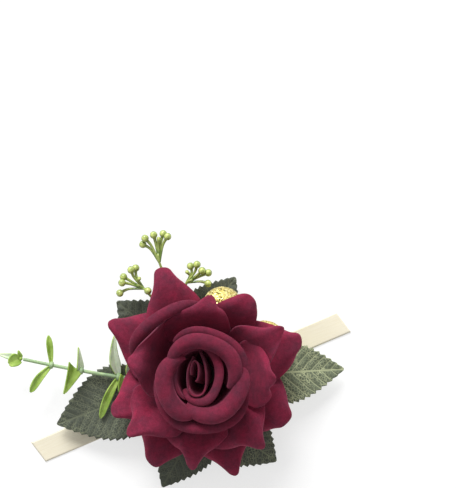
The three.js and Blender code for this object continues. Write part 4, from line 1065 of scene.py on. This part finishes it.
# Each point's radius, and its share of the cup's height.
outline = [
    (0, 0), (CALYX_NECK_RADIUS * 0.9, 0), (CALYX_NECK_RADIUS, 0.05), (CALYX_RADIUS * 0.85, 0.3),
    (CALYX_RADIUS, 0.6), (CALYX_RADIUS, 0.85), (CALYX_RADIUS * 0.85, 0.97), (CALYX_NECK_RADIUS, 1), (0, 1)]
verts = [bm.verts.new((radius, 0, calyx_bottom + calyx_height * share)) for radius, share in outline]
edges = [bm.edges.new(pair) for pair in zip(verts, verts[1:])]
bmesh.ops.spin(
    bm, geom=verts + edges, angle=tau, steps=48, use_merge=True, axis=(0, 0, 1), cent=(0, 0, 0))
bmesh.ops.remove_doubles(bm, verts=bm.verts, dist=WELD)
bmesh.ops.recalc_face_normals(bm, faces=bm.faces)
for k in range(SEPAL_COUNT):
    turn = turned(360 * k / SEPAL_COUNT + 90)
    grid = bmesh.ops.create_grid(bm, x_segments=8, y_segments=20, size=1)["verts"]
    faces = list({face for vert in grid for face in vert.link_faces})
    for vert in grid:
        u, v = vert.co.x, (vert.co.y + 1) / 2
        half = SEPAL_WIDTH / 2 * (1 - v * v) + SEPAL_TIP_HALF_WIDTH
        height = calyx_top - SEPAL_THICKNESS - SEPAL_DROOP * v * v - SEPAL_HOLLOW * u * u * (1 - v)
        vert.co = turn @ Vector((CALYX_RADIUS / 2 + v * SEPAL_LENGTH, u * half, height))
    bmesh.ops.recalc_face_normals(bm, faces=faces)
    bmesh.ops.solidify(bm, geom=faces, thickness=SEPAL_WALL)
bmesh.ops.translate(bm, vec=flower_axis, verts=bm.verts)
piece(bm, "sepal_cup", [green_polythene], ["calyx"])

# The glue: one puddle of hot-melt glue on the ribbon's middle, run in round the ribs, stems and picks
# while it was soft. It is milky and smooth, with a few slow waves.
GLUE_GLOW = 2 * MM, 2 * MM, 1.6 * MM
GLUE_WAVE_SHARE = 0.06
GLUE_WAVE_COUNT = 2.2
GLUE_FLATNESS = 0.7


def hot_melt():
    """Set ethylene glue: milky, a little see-through, and smooth as it cooled."""
    material, node, place = textured_material("hot_melt_glue")
    cloud = node("TexNoise", {"Vector": place, "Scale": 1 / (3 * MM), "Detail": 2})
    colour = node("Mix", {0: cloud, 6: srgb("#ddd4bb"), 7: srgb("#f3eddc")}, data_type="RGBA")
    bump = node("Bump", {"Height": cloud, "Distance": 0.3 * MM, "Strength": 0.5})
    return finished(material, node("BsdfPrincipled", {
        "Base Color": colour, "Roughness": 0.25, "IOR": 1.49, "Subsurface Weight": 0.3,
        "Subsurface Radius": GLUE_GLOW, "Subsurface Scale": 1, "Normal": bump}))


low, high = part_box("hot_glue_puddle")
bm = bmesh.new()
bmesh.ops.create_icosphere(bm, subdivisions=5, radius=1)
for vert in bm.verts:
    edge = 1 + GLUE_WAVE_SHARE * noise.noise(vert.co * GLUE_WAVE_COUNT)
    x, y, z = vert.co
    z = copysign(abs(z) ** GLUE_FLATNESS, z)
    vert.co = ((low.x + high.x) / 2 + x * edge * (high.x - low.x) / 2,
               (low.y + high.y) / 2 + y * edge * (high.y - low.y) / 2,
               (low.z + high.z) / 2 + z * (high.z - low.z) / 2)
piece(bm, "glue_puddle", [hot_melt()], ["hot_glue_puddle"])
